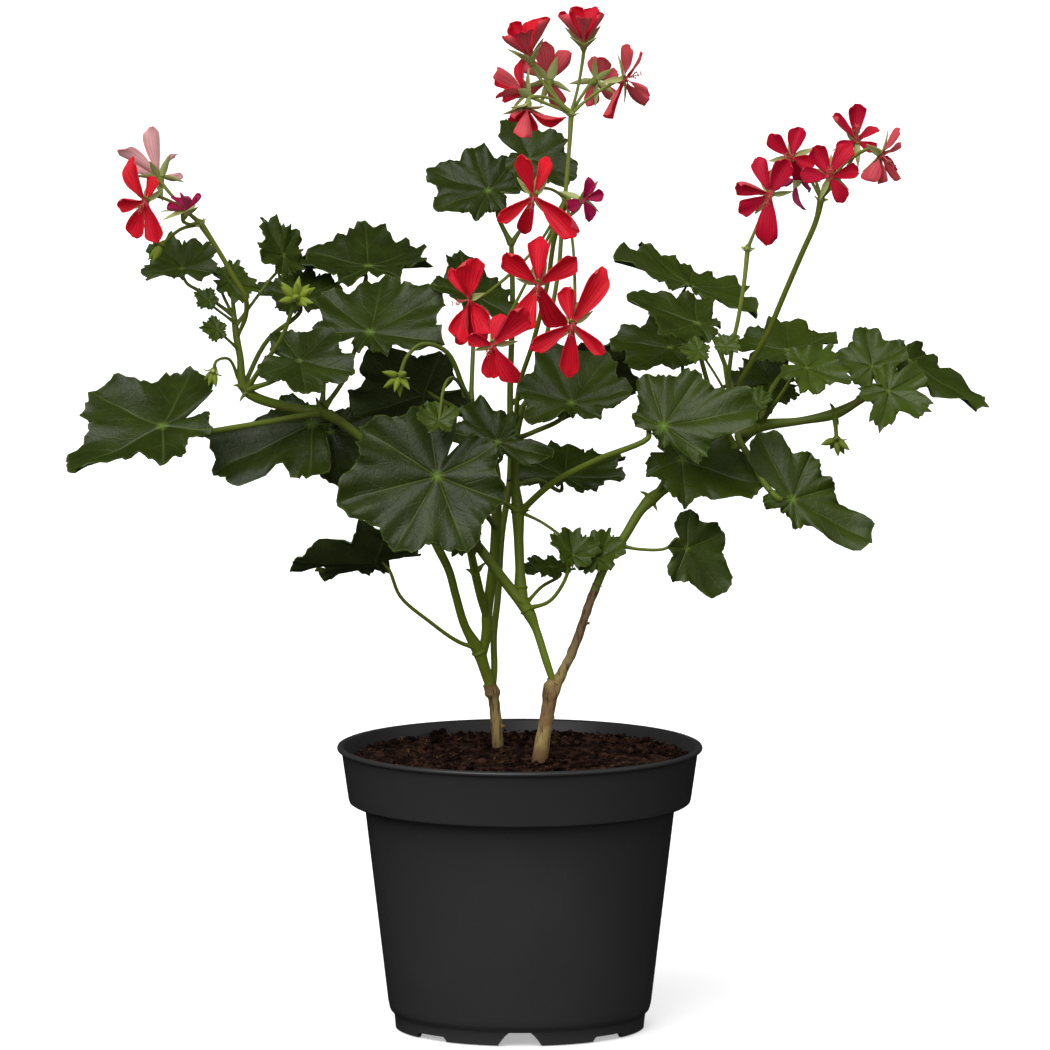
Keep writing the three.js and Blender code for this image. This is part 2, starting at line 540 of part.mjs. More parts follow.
const UMBELS = {
  top: {
    shoot: 'shoot_low',
    stalk: [[1, 256, 5, 1], [6, 266, 8, 1.2], [15.5, 310, 4, 1.2], [17, 327, 2, 1.2],
      [18.5, 343, 0, 1.2], [20, 360, 0, 1.1], [21, 377, 0, 1.5]],
    blooms: [
      { centre: [4, 400, -4], faces: [108, 10],
        petals: [[143, 20, 15], [122, -15, 16], [104, 30, 17], [88, -20, 18.5], [70, 15, 19]] },
      { centre: [26, 406, -8], faces: [90, 20],
        petals: [[128, 20, 17], [112, -10, 15], [92, 35, 16], [76, -15, 16], [52, 15, 15]] },
      { centre: [43, 391, -6], faces: [20, 20],
        petals: [[94, 20, 16], [48, -10, 13], [330, 20, 13], [298, -35, 16.5], [240, 30, 20]] },
      { centre: [2, 385, -6], faces: [150, 20],
        petals: [[172, 25, 13], [150, -20, 14], [128, 20, 17], [106, -10, 15], [200, -10, 10]] },
      { centre: [3, 378, -18], faces: [260, 25],
        petals: [[255, 50, 15], [328, 15, 15], [290, -20, 10], [200, 20, 8], [225, -20, 10]] },
      { centre: [12, 391, 14], faces: [95, -65],
        petals: [[98, -10, 16], [54, -20, 15], [150, -20, 13], [202, 0, 10], [290, -10, 13]] },
      { centre: [31, 391, 12], faces: [30, -60],
        petals: [[62, 10, 11], [15, -10, 10], [95, -20, 10], [258, -10, 11], [310, 0, 11]] },
    ],
  },
  centre: {
    shoot: 'shoot_low',
    stalk: [[-1.6, 250, 4, 1], [-1.2, 257, -2, 1.3], [0, 266, -4, 1.3], [5.5, 283, -6, 1.3],
      [11.5, 308, -8, 1.3], [14, 324.5, -10, 1.3], [19, 342, -12, 1.9]],
    blooms: [
      { centre: [5.7, 342, -32], faces: [250, 55],
        petals: [[107, 15, 19.5], [70, -10, 18], [212, 15, 18.5], [254, -10, 18.5], [324, 25, 26]] },
      { centre: [25.8, 341, -24], faces: [20, 45], colour: 'magenta',
        petals: [[62, 10, 9], [20, 10, 9], [205, 20, 8], [300, 10, 9]] },
      { centre: [7.4, 306, -43], faces: [260, 60],
        petals: [[136, 10, 19.5], [90, -5, 19.5], [32, -10, 19.5], [246, 20, 22], [296, -10, 23]] },
      { centre: [21.3, 289.5, -54], faces: [250, 60],
        petals: [[98, -15, 16], [58, 5, 26], [210, 15, 20.5], [266, -5, 23], [320, 15, 18.5]] },
      { centre: [-11, 281, -56], faces: [230, 60],
        petals: [[75, -15, 14], [47, 15, 22], [296, 10, 18], [266, -15, 15], [160, 10, 11]] },
      { centre: [-20.5, 300, -26], faces: [190, 15],
        petals: [[98, 20, 18], [125, -20, 16], [250, 20, 18], [278, -35, 24], [300, 45, 19.6]] },
    ],
  },
  left: {
    shoot: 'shoot_left',
    stalk: [[-116, 284, 5, 0.8], [-112, 294, 1, 1.4], [-112, 301, -2, 1.4], [-117, 310, -3, 1.4],
      [-123, 320.5, -4, 1.3], [-130.5, 332, -5, 1.8]],
    blooms: [
      { centre: [-147.6, 351.5, 4], faces: [120, -40], colour: 'pink',
        petals: [[99, 10, 22], [139, 15, 22], [348, -20, 11], [60, -30, 12], [170, -20, 14]] },
      { centre: [-152.5, 340.5, -16], faces: [230, 55],
        petals: [[120, 10, 17.5], [72, -10, 11], [186, 20, 12], [252, -5, 16.5], [285, 15, 18]] },
      { centre: [-136, 337, -14], faces: [75, 15], colour: 'magenta',
        petals: [[170, 10, 8], [92, 40, 11], [40, 10, 9], [130, -30, 9]] },
    ],
    buds: [
      { centre: [-146, 323, 0], pointing: [240, 10], count: 2, length: 8, width: 3, spread: 20,
        stalk: [[-131.5, 331.5, -5, 0.8], [-139, 329, -2, 0.7]] },
    ],
  },
  right_front: {
    shoot: 'shoot_right',
    stalk: [[97, 248, 8, 0.8], [86, 262.5, 0, 1.2], [85.5, 269, -2, 1.2], [87.3, 283.5, -3, 1.2],
      [89, 291.5, -4, 1.2], [91.4, 306, -5, 1.2], [93, 321.5, -6, 1.4]],
    blooms: [
      { centre: [101.7, 343, -28], faces: [240, 65],
        petals: [[160, 10, 15.5], [204, 15, 15.5], [117, -10, 16.5], [64, 5, 16.5], [263, 20, 20]] },
    ],
  },
  right_back: {
    shoot: 'shoot_right',
    stalk: [[97.5, 249, 8, 0.8], [89.5, 263, 8, 1.5], [95, 275, 6, 1.5], [101.7, 287.5, 3, 1.5],
      [107.8, 302, 1, 1.5], [114.8, 318.5, -1, 1.5], [121, 333, -2, 1.5], [123, 342, -2, 1.9]],
    blooms: [
      { centre: [110.7, 358.5, -8], faces: [150, 65],
        petals: [[134, 10, 13.5], [76, -10, 13.5], [234, 15, 18], [345, 10, 10], [290, -10, 12]] },
      { centre: [126, 350.5, -22], faces: [90, 60],
        petals: [[118, -10, 14], [60, 10, 15.5], [8, -10, 12.5], [176, 10, 12.5], [304, 10, 12]] },
      { centre: [113, 350, 4], faces: [220, 10], colour: 'magenta',
        petals: [[262, 10, 12], [330, -45, 10], [200, -20, 9], [180, 20, 8]] },
      { centre: [137.5, 366, 2], faces: [90, 30],
        petals: [[133, 10, 15], [88, -10, 15], [326, 10, 9], [30, -20, 11], [200, 30, 10]] },
      { centre: [147.5, 359.5, -8], faces: [320, 20],
        petals: [[62, 10, 14], [300, -40, 14], [272, -15, 12.5], [236, 15, 13], [20, -20, 10]] },
    ],
  },
};

const THROAT_RADIUS = 1.4;
const PETAL_MARGIN = 0.45;
// A petal's edge from foot to tip and back, as shares of its length and width
const PETAL_OUTLINE = [[0.42, -0.34], [0.84, -0.5], [1, 0], [0.84, 0.5], [0.42, 0.34]];
const CALYX_LENGTH = 4.5;
const CALYX_RADIUS = 1.5;
const SEPAL_LENGTH = 6;
const SEPAL_DROP = 3.6;

// The turn from one bearing on to the next, in (0, 2π]
function turnBetween(from, to) {
  return ((to - from + 4 * Math.PI) % (2 * Math.PI)) || 2 * Math.PI;
}

// The petals of a bloom in order of their bearing round its axis, with the turn to each neighbour
function petalWays(axis, petals) {
  const level = new THREE.Vector3(0.31, 0.23, 0.92).cross(axis).normalize();
  const across = axis.clone().cross(level);
  const ways = petals.map(([turn, lean, length]) => {
    const along = direction([turn, lean]);
    return { along, length, bearing: Math.atan2(along.dot(across), along.dot(level)) };
  }).sort((a, b) => a.bearing - b.bearing);
  ways.forEach((way, k) => {
    way.before = turnBetween(ways.at(k - 1).bearing, way.bearing);
    way.after = turnBetween(way.bearing, ways[(k + 1) % ways.length].bearing);
  });
  return { level, across, ways };
}

// How far a petal may reach sideways before it meets its neighbour
function halfRoom(radius, turn) {
  return turn < 2.9 ? Math.max(radius * Math.tan(turn / 2) - PETAL_MARGIN, PETAL_MARGIN) : Infinity;
}

// A corolla is one sheet: petals round a small throat. Each petal narrows to its foot.
function makeBloom({ centre, faces, petals }) {
  const middle = at(centre);
  const axis = direction(faces);
  const { level, across, ways } = petalWays(axis, petals);
  const points = [middle];
  const normals = [axis];
  for (const { bearing, before } of ways) {
    const between = bearing - before / 2;
    points.push(middle.clone()
      .addScaledVector(level, THROAT_RADIUS * Math.cos(between))
      .addScaledVector(across, THROAT_RADIUS * Math.sin(between)));
    normals.push(axis);
  }
  const triangles = [];
  const rim = [];
  ways.forEach(({ along, length, before, after }, k) => {
    const normal = axis.clone().addScaledVector(along, -axis.dot(along)).normalize();
    const side = normal.clone().cross(along);
    const width = 3 + 0.42 * length;
    const curl = k % 2 ? 0.08 : -0.1;
    const place = (s, w, sink) => {
      const far = THROAT_RADIUS + s * (length - THROAT_RADIUS);
      const rise = length * curl * s * s - sink * width;
      const radius = far * along.clone().cross(axis).length() - rise * normal.dot(axis) * along.dot(axis);
      const room = halfRoom(radius, w < 0 ? before : after);
      return middle.clone()
        .addScaledVector(along, far)
        .addScaledVector(side, Math.sign(w) * Math.min(Math.abs(w) * width, room))
        .addScaledVector(normal, rise);
    };
    const [foot, nextFoot, first] = [1 + k, 1 + (k + 1) % ways.length, points.length];
    points.push(...PETAL_OUTLINE.map(([s, w]) => place(s, w, 0)), place(0.62, 0, 0.08));
    normals.push(...Array(PETAL_OUTLINE.length + 1).fill(normal));
    const edge = [foot, first, first + 1, first + 2, first + 3, first + 4, nextFoot];
    rim.push(...edge.slice(0, -1));
    edge.forEach((a, i) => triangles.push([a, edge[(i + 1) % edge.length], first + 5]));
    triangles.push([0, foot, nextFoot]);
  });
  return blade(points, normals, triangles, rim, PETAL_THICKNESS);
}

// The pedicel widens into the calyx, which carries five narrow sepals behind the petals.
function pedicelAndCalyx(from, { centre, faces, petals }) {
  const axis = direction(faces);
  const middle = at(centre);
  const top = middle.clone().addScaledVector(axis, -PETAL_THICKNESS / 2 - GAP);
  const foot = top.clone().addScaledVector(axis, -CALYX_LENGTH);
  const start = at(from);
  const out = start.clone().addScaledVector(foot.clone().sub(start).normalize(), 0.5 * KNOB_RADIUS);
  const bend = start.clone().lerp(foot, 0.55).addScaledVector(axis, -0.12 * start.distanceTo(foot));
  const pedicel = limb([
    [...asPlace(out), PEDICEL_RADIUS], [...asPlace(bend), PEDICEL_RADIUS],
    [...asPlace(foot.clone().lerp(top, 0.4)), 0.9],
  ], { sides: THIN_SIDES });
  return pedicel.add(makeCalyx(top, foot, axis, petalWays(axis, petals)));
}

// A calyx is a five-pointed star: its sepals spread behind the petals, and it tapers to the pedicel.
function makeCalyx(top, foot, axis, { level, across, ways }) {
  const points = [foot, top];
  ways.forEach(({ bearing, along, after }, k) => {
    const next = ways[(k + 1) % ways.length];
    const dip = SEPAL_DROP + SEPAL_LENGTH * Math.max(0, -along.dot(axis), -next.along.dot(axis));
    const notch = [bearing, CALYX_RADIUS, 1.2];
    const sepal = [bearing + after / 2, SEPAL_LENGTH, dip];
    for (const [angle, reach, drop] of [notch, sepal]) {
      points.push(top.clone()
        .addScaledVector(level, reach * Math.cos(angle))
        .addScaledVector(across, reach * Math.sin(angle))
        .addScaledVector(axis, -drop));
    }
  });
  const count = points.length - 2;
  const index = [];
  for (let i = 0; i < count; i += 1) {
    const [a, b] = [2 + i, 2 + (i + 1) % count];
    index.push(1, a, b, 0, b, a);
  }
  const geometry = new THREE.BufferGeometry().setFromPoints(points);
  geometry.setIndex(index);
  return solidOf(geometry);
}

function makeUmbelStalk({ shoot, stalk, blooms, buds = [] }) {
  const end = stalk[stalk.length - 1].slice(0, 3);
  const solids = [
    limb(stalk),
    knobAt(at(end)),
    ...blooms.map((bloom) => pedicelAndCalyx(end, bloom)),
    ...buds.map(budCluster),
  ];
  return join(solids).subtract(collar(SHOOTS[shoot].stems, STEM_SIDES));
}

// The whole plant

const plant = new THREE.Group();

function addPart(name, solid, colour, roughness) {
  const material = new THREE.MeshStandardMaterial({ color: colour, roughness, metalness: 0 });
  const mesh = new THREE.Mesh(geometryOf(solid), material);
  mesh.name = name;
  plant.add(mesh);
}

addPart('pot', makePot(), COLOURS.pot, 0.45);
addPart('soil', makeSoil(), COLOURS.soil, 0.95);
addPart('base_left', limb(BASE_LEFT, { sides: BASE_SIDES }), COLOURS.bark, 0.85);
addPart('base_right', limb(BASE_RIGHT, { sides: BASE_SIDES }), COLOURS.bark, 0.85);
for (const [name, shoot] of Object.entries(SHOOTS)) {
  addPart(name, makeShoot(shoot), COLOURS.leaf, 0.5);
}
for (const [name, umbel] of Object.entries(UMBELS)) {
  addPart(`stalk_${name}`, makeUmbelStalk(umbel), COLOURS.stalk, 0.55);
  umbel.blooms.forEach((bloom, k) => {
    addPart(`bloom_${name}_${k + 1}`, makeBloom(bloom), COLOURS[bloom.colour ?? 'red'], 0.6);
  });
}

// The origin is the middle of the whole object's box, on its underside.
const box = new THREE.Box3().setFromObject(plant);
const middle = box.getCenter(new THREE.Vector3());
plant.position.set(-middle.x, -middle.y, -box.min.z);

export default plant;
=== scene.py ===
"""A potted ivy geranium in flower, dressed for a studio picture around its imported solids.

Tables, fields and names that end in _MM are in millimetres. Points in space and the studio are in metres.
"""
import logging
import math
import random
from collections.abc import Callable, Iterator
from contextlib import contextmanager
from dataclasses import dataclass, field, replace
from enum import Enum

import bpy
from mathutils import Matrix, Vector, noise


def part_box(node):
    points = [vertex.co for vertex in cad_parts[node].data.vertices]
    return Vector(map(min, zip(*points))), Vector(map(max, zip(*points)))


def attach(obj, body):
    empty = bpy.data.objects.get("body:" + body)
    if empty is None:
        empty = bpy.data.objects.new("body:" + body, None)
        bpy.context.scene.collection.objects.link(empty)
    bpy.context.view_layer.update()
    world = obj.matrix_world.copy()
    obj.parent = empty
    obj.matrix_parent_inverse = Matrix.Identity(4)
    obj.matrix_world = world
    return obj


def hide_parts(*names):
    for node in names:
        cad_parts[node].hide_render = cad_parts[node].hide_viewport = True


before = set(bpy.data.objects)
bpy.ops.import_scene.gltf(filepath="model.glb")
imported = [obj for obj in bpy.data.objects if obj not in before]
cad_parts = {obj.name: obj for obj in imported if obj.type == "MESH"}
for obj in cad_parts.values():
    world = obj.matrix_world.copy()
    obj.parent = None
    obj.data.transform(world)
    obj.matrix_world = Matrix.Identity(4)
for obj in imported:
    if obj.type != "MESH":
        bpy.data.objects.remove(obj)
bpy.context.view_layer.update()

log = logging.getLogger("ivy_geranium")

Spot = tuple[float, float]
# Degrees: the turn, anticlockwise from the right as seen from the front, and the lean to the front
Bearing = tuple[float, float]
Place = tuple[float, float, float]
Row = tuple[float, float, float, float]
Colour = tuple[float, float, float]

MM = 0.001
BODY = "root"

# Places are read in a front view that looks slightly down: (across, up, back), from the pot's axis.
SIGHT_SLOPE = 0.135
POT_LOW, POT_HIGH = (Vector(corner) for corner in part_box("pot"))
POT_AXIS = Vector(((POT_LOW.x + POT_HIGH.x) / 2, (POT_LOW.y + POT_HIGH.y) / 2, 0.0))
RIM_RADIUS_MM = (POT_HIGH.x - POT_LOW.x) / 2 / MM
POT_HEIGHT_MM = POT_HIGH.z / MM

LEAF_THICKNESS_MM = 0.62
PETAL_THICKNESS_MM = 0.42
SEPAL_THICKNESS_MM = 0.35
# A leaf's lobes spread to this angle on both sides of its tip, and leave a notch at the petiole.
SINUS_ANGLE = 168.0
SINUS_REACH = 0.2
LOBE_SHOULDER = 0.93
EVEN_LOBES = (0.65, 0.9, 1, 0.9, 0.65)
SMALL_LEAF_MM = 21.0
SOIL_LEVEL_MM = 111.0
ROOTING_DEPTH_MM = 34.0
PETAL_MARGIN_MM = 0.3
FULL_ROOM_TURN = 2.9
CALYX_MM = 4.5
SEPAL_LENGTH_MM = 9.5
KNOB_MM = 2.1
FLARE_REACH_MM = 3.2
BASE_JOINT_MM = 139.0
GOLDEN_TURN = 2.4
# One step of the repeatable draw that gives a leaf's waves the phase of its solid
DRAW_FACTOR, DRAW_ADDEND, DRAW_RANGE = 1664525, 1013904223, 2**32
# The solids' stalks, stems and petioles are a little stout, so these ones are slimmer.
STALK_SHARE = 0.76
STEM_SHARE = 0.92
PETIOLE_SHARE = 0.86
# A slanting direction that lies along no axis of the plant, from which level ones are worked out
SLANT = Vector((0.31, 0.23, 0.92))


class Petals(Enum):
    """The colours that the flowers have."""

    RED = "petal_red"
    PINK = "petal_pink"
    MAGENTA = "petal_magenta"


def at(place: Place) -> Vector:
    """Turn a table's place into a point in metres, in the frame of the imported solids."""
    across, up, back = place
    return POT_AXIS + Vector((across, back, up - SIGHT_SLOPE * back)) * MM


def direction(bearing: Bearing) -> Vector:
    """Turn a bearing into a unit vector."""
    turn, lean = (math.radians(angle) for angle in bearing)
    return Vector((math.cos(lean) * math.cos(turn), -math.sin(lean), math.cos(lean) * math.sin(turn)))


def mix(a: float, b: float, share: float) -> float:
    """Return the value that lies this share of the way from a to b."""
    return a + (b - a) * share


def smooth(share: float) -> float:
    """Ease a share from 0 to 1, level at both ends."""
    share = min(max(share, 0.0), 1.0)
    return share * share * (3 - 2 * share)


def cubic(start: float | Vector, leave: float | Vector, end: float | Vector, arrive: float | Vector,
          share: float) -> float | Vector:
    """Read a cubic curve between two numbers or two points.

    Args:
        start: Where it starts.
        leave: Its slope there.
        end: Where it ends.
        arrive: Its slope there.
        share: Where it is read, from 0 to 1.

    Returns:
        The number or point there.
    """
    square, cube = share**2, share**3
    rest = start * (2 * cube - 3 * square + 1) + leave * (cube - 2 * square + share)
    return rest + end * (3 * square - 2 * cube) + arrive * (cube - square)


def between(rows: list[Spot], x: float) -> float:
    """Read a smooth curve through rows of (x, y).

    Args:
        rows: Points of the curve in order of x.
        x: Where it is read.

    Returns:
        The curve's height there.
    """
    if x <= rows[0][0]:
        return rows[0][1]
    if x >= rows[-1][0]:
        return rows[-1][1]
    k = next(i for i in range(len(rows) - 1) if x <= rows[i + 1][0])

    def slope(i: int) -> float:
        """Return the curve's slope at a row, level at both ends."""
        (xa, ya), (xb, yb) = rows[max(i - 1, 0)], rows[min(i + 1, len(rows) - 1)]
        return (yb - ya) / (xb - xa) if 0 < i < len(rows) - 1 else 0.0

    (x0, y0), (x1, y1) = rows[k], rows[k + 1]
    run = x1 - x0
    return cubic(y0, run * slope(k), y1, run * slope(k + 1), (x - x0) / run)


# The workbench: Blender's modelling tools, used as by hand


class Bench:
    """Adds, shapes and finishes meshes with Blender's own operators."""

    @staticmethod
    def clear() -> None:
        """Deselect everything in object mode."""
        bpy.ops.object.select_all(action="DESELECT")

    @staticmethod
    def pick(piece: bpy.types.Object) -> None:
        """Select a piece alone, and make it active.

        Args:
            piece: The piece to work on.
        """
        Bench.clear()
        piece.select_set(True)
        bpy.context.view_layer.objects.active = piece

    @staticmethod
    @contextmanager
    def editing() -> Iterator[None]:
        """Edit the active piece, first all selected, and turn its faces outwards at the end.

        Returns:
            The time in edit mode, as a with block.
        """
        bpy.ops.object.mode_set(mode="EDIT")
        bpy.ops.mesh.select_all(action="SELECT")
        yield
        bpy.ops.mesh.select_all(action="SELECT")
        bpy.ops.mesh.normals_make_consistent(inside=False)
        bpy.ops.object.mode_set(mode="OBJECT")

    @staticmethod
    def linked(name: str, data: bpy.types.ID) -> bpy.types.Object:
        """Put a new object in the scene.

        Args:
            name: Its name.
            data: Its mesh, curve, light or camera.

        Returns:
            The object.
        """
        piece = bpy.data.objects.new(name, data)
        bpy.context.collection.objects.link(piece)
        return piece

    @staticmethod
    def named(name: str) -> bpy.types.Object:
        """Name the active object and its mesh.

        Args:
            name: The name for both.

        Returns:
            The object.
        """
        piece = bpy.context.active_object
        piece.name = name
        piece.data.name = name
        return piece

    @staticmethod
    def turned(name: str, profile: list[Spot], segments: int) -> bpy.types.Object:
        """Extrude and scale a circle ring by ring, as on a lathe, and close both ends.

        Args:
            name: The piece's name.
            profile: Rows of (radius, height) in millimetres round the pot's axis.
            segments: Sides of the rings.

        Returns:
            The closed piece.
        """
        Bench.clear()
        radius, height = profile[0]
        bpy.ops.mesh.primitive_circle_add(
            vertices=segments, radius=radius * MM, location=POT_AXIS + Vector((0, 0, height * MM))
        )
        piece = Bench.named(name)
        with Bench.editing():
            bpy.ops.mesh.edge_face_add()
            for (r0, z0), (r1, z1) in zip(profile, profile[1:]):
                middle = POT_AXIS + Vector((0, 0, z1 * MM))
                bpy.ops.mesh.extrude_region_move(TRANSFORM_OT_translate={"value": (0, 0, (z1 - z0) * MM)})
                bpy.ops.transform.resize(value=(r1 / r0, r1 / r0, 1), center_override=middle)
        Bench.settle(piece)
        return piece

    @staticmethod
    def settle(piece: bpy.types.Object) -> None:
        """Move a piece's place into its mesh, so that the object sits at the origin."""
        Bench.pick(piece)
        bpy.ops.object.transform_apply(location=True, rotation=True, scale=True)

    @staticmethod
    def apply(piece: bpy.types.Object, kind: str, **settings: object) -> None:
        """Add one modifier and apply it.

        Args:
            piece: The piece to change.
            kind: The modifier's type.
            settings: Its settings.
        """
        Bench.pick(piece)
        modifier = piece.modifiers.new(kind.title(), kind)
        for key, value in settings.items():
            setattr(modifier, key, value)
        bpy.ops.object.modifier_apply(modifier=modifier.name)

    @staticmethod
    def round_off(piece: bpy.types.Object, angle: float) -> None:
        """Shade a piece smooth, apart from edges sharper than an angle in degrees."""
        Bench.pick(piece)
        bpy.ops.object.shade_smooth_by_angle(angle=math.radians(angle))

    @staticmethod
    def remove(piece: bpy.types.Object) -> None:
        """Remove a pattern or cutter that is used up."""
        bpy.data.objects.remove(piece, do_unlink=True)


@dataclass(frozen=True)
class Stencil:
    """A flat pattern of points and faces, modelled once and carried on to each leaf or petal."""

    points: list[Spot]
    faces: list[tuple[int, ...]]

    @classmethod
    def of_active(cls) -> "Stencil":
        """Read the pattern from the active object, and remove that.

        Returns:
            The pattern.
        """
        piece = bpy.context.active_object
        pattern = cls(
            [(vertex.co.x, vertex.co.y) for vertex in piece.data.vertices],
            [tuple(face.vertices) for face in piece.data.polygons],
        )
        Bench.remove(piece)
        return pattern

    @classmethod
    def disc(cls, spokes: int, rings: list[float]) -> "Stencil":
        """Model a disc of rings round a hub.

        Args:
            spokes: Points on each ring.
            rings: The rings' radii from the hub outwards.

        Returns:
            The pattern.
        """
        Bench.clear()
        bpy.ops.mesh.primitive_circle_add(vertices=spokes, radius=rings[0], fill_type="TRIFAN")
        with Bench.editing():
            bpy.ops.mesh.region_to_loop()
            for inner, outer in zip(rings, rings[1:]):
                bpy.ops.mesh.extrude_edges_move()
                bpy.ops.transform.resize(value=(outer / inner,) * 3, center_override=(0, 0, 0))
        return cls.of_active()

    @classmethod
    def strip(cls, columns: int, rows: int) -> "Stencil":
        """Model a rectangle.

        Args:
            columns: Its columns along x, which runs from 0 to 1.
            rows: Its rows across y, which runs from -1 to 1.

        Returns:
            The pattern.
        """
        Bench.clear()
        bpy.ops.mesh.primitive_grid_add(x_subdivisions=columns, y_subdivisions=rows, size=2)
        pattern = cls.of_active()
        return cls([((x + 1) / 2, y) for x, y in pattern.points], pattern.faces)


@dataclass
class Foliage:
    """Thin sheets that are gathered in one mesh, and then given their thickness together."""

    points: list[Vector] = field(default_factory=list)
    faces: list[tuple[int, ...]] = field(default_factory=list)
    maps: list[Spot] = field(default_factory=list)
    tints: list[float] = field(default_factory=list)
    edges: list[float] = field(default_factory=list)

    def add(self, stencil: Stencil, place: Callable[[Spot], Vector], map_of: Callable[[Spot, Spot], Spot],
            edge_of: Callable[[Spot], float], tint: float) -> None:
        """Carry a pattern on to one sheet.

        Args:
            stencil: The flat pattern.
            place: Gives the point in space of a pattern's point.
            map_of: Gives a face corner's two map values, from its point and the face's middle.
            edge_of: Gives how near a pattern's point is to the sheet's edge, from 0 to 1.
            tint: The sheet's own shade, from 0 to 1.
        """
        first = len(self.points)
        self.points.extend(place(point) for point in stencil.points)
        self.edges.extend(edge_of(point) for point in stencil.points)
        for face in stencil.faces:
            corners = [stencil.points[i] for i in face]
            count = len(corners)
            middle = (sum(x for x, _ in corners) / count, sum(y for _, y in corners) / count)
            self.faces.append(tuple(first + i for i in face))
            self.maps.extend(map_of(corner, middle) for corner in corners)
            self.tints.append(tint)

    def build(self, name: str, thickness: float) -> bpy.types.Object:
        """Make the mesh, with its map, its tint, its edge and its underside marked.

        Args:
            name: The piece's name.
            thickness: The sheets' thickness in millimetres.

        Returns:
            The closed piece.
        """
        mesh = bpy.data.meshes.new(name)
        mesh.from_pydata(self.points, [], self.faces)
        mesh.uv_layers.new(name="sheet").data.foreach_set("uv", [v for uv in self.maps for v in uv])
        mesh.attributes.new("tint", "FLOAT", "FACE").data.foreach_set("value", self.tints)
        mesh.attributes.new("edge", "FLOAT", "POINT").data.foreach_set("value", self.edges)
        piece = Bench.linked(name, mesh)
        Bench.apply(piece, "SOLIDIFY", thickness=thickness * MM, offset=0, use_even_offset=False)
        # Solidify keeps the sheets' faces first, and their undersides follow in the same order.
        count = len(self.faces)
        under = [1.0 if count <= i < 2 * count else 0.0 for i in range(len(piece.data.polygons))]
        piece.data.attributes.new("underside", "FLOAT", "FACE").data.foreach_set("value", under)
        Bench.round_off(piece, 50)
        return piece


@dataclass(frozen=True)
class Limb:
    """A round stem, stalk or bud along rows of (across, up, back, radius) in millimetres."""

    rows: list[Row]
    steps: int = 5
    flare: float = 0.0

    def route(self) -> list[tuple[Vector, float]]:
        """Run a centripetal curve through the rows.

        Returns:
            Points in metres, each with its radius in metres.
        """
        points = [at(row[:3]) for row in self.rows]
        radii = [row[3] * MM for row in self.rows]
        route = []
        for i in range(len(points) - 1):
            p1, p2 = points[i], points[i + 1]
            p0 = points[i - 1] if i else p1 * 2 - p2
            p3 = points[i + 2] if i + 2 < len(points) else p2 * 2 - p1
            d0, d1, d2 = (max((b - a).length, 1e-7) ** 0.5 for a, b in ((p0, p1), (p1, p2), (p2, p3)))
            t1 = ((p1 - p0) / d0 - (p2 - p0) / (d0 + d1) + (p2 - p1) / d1) * d1
            t2 = ((p2 - p1) / d1 - (p3 - p1) / (d1 + d2) + (p3 - p2) / d2) * d1
            for k in range(self.steps):
                s = k / self.steps
                route.append((cubic(p1, t1, p2, t2, s), mix(radii[i], radii[i + 1], smooth(s))))
        route.append((points[-1], radii[-1]))
        return [(point, radius * self.widening(point, points[0])) for point, radius in route]

    def widening(self, point: Vector, foot: Vector) -> float:
        """Return how many times wider the limb is at a point, by its distance from the foot."""
        near = math.exp(-(((point - foot).length / (FLARE_REACH_MM * MM)) ** 2))
        return 1 + self.flare * near


def limbs(name: str, parts: list[Limb], sides: int = 12) -> bpy.types.Object:
    """Sweep round limbs as one curve object, and make it a mesh.

    Args:
        name: The piece's name.
        parts: The limbs.
        sides: Sides of each limb's section, an even number.

    Returns:
        The piece, with closed ends.
    """
    curve = bpy.data.curves.new(name, "CURVE")
    curve.dimensions = "3D"
    curve.bevel_depth = 1.0
    curve.bevel_resolution = (sides - 4) // 2
    curve.use_fill_caps = True
    for part in parts:
        route = part.route()
        spline = curve.splines.new("POLY")
        spline.points.add(len(route) - 1)
        for point, (place, radius) in zip(spline.points, route):
            point.co = (*place, 1.0)
            point.radius = radius
    Bench.pick(Bench.linked(name, curve))
    bpy.ops.object.convert(target="MESH")
    piece = Bench.named(name)
    Bench.round_off(piece, 60)
    return piece


# Shading


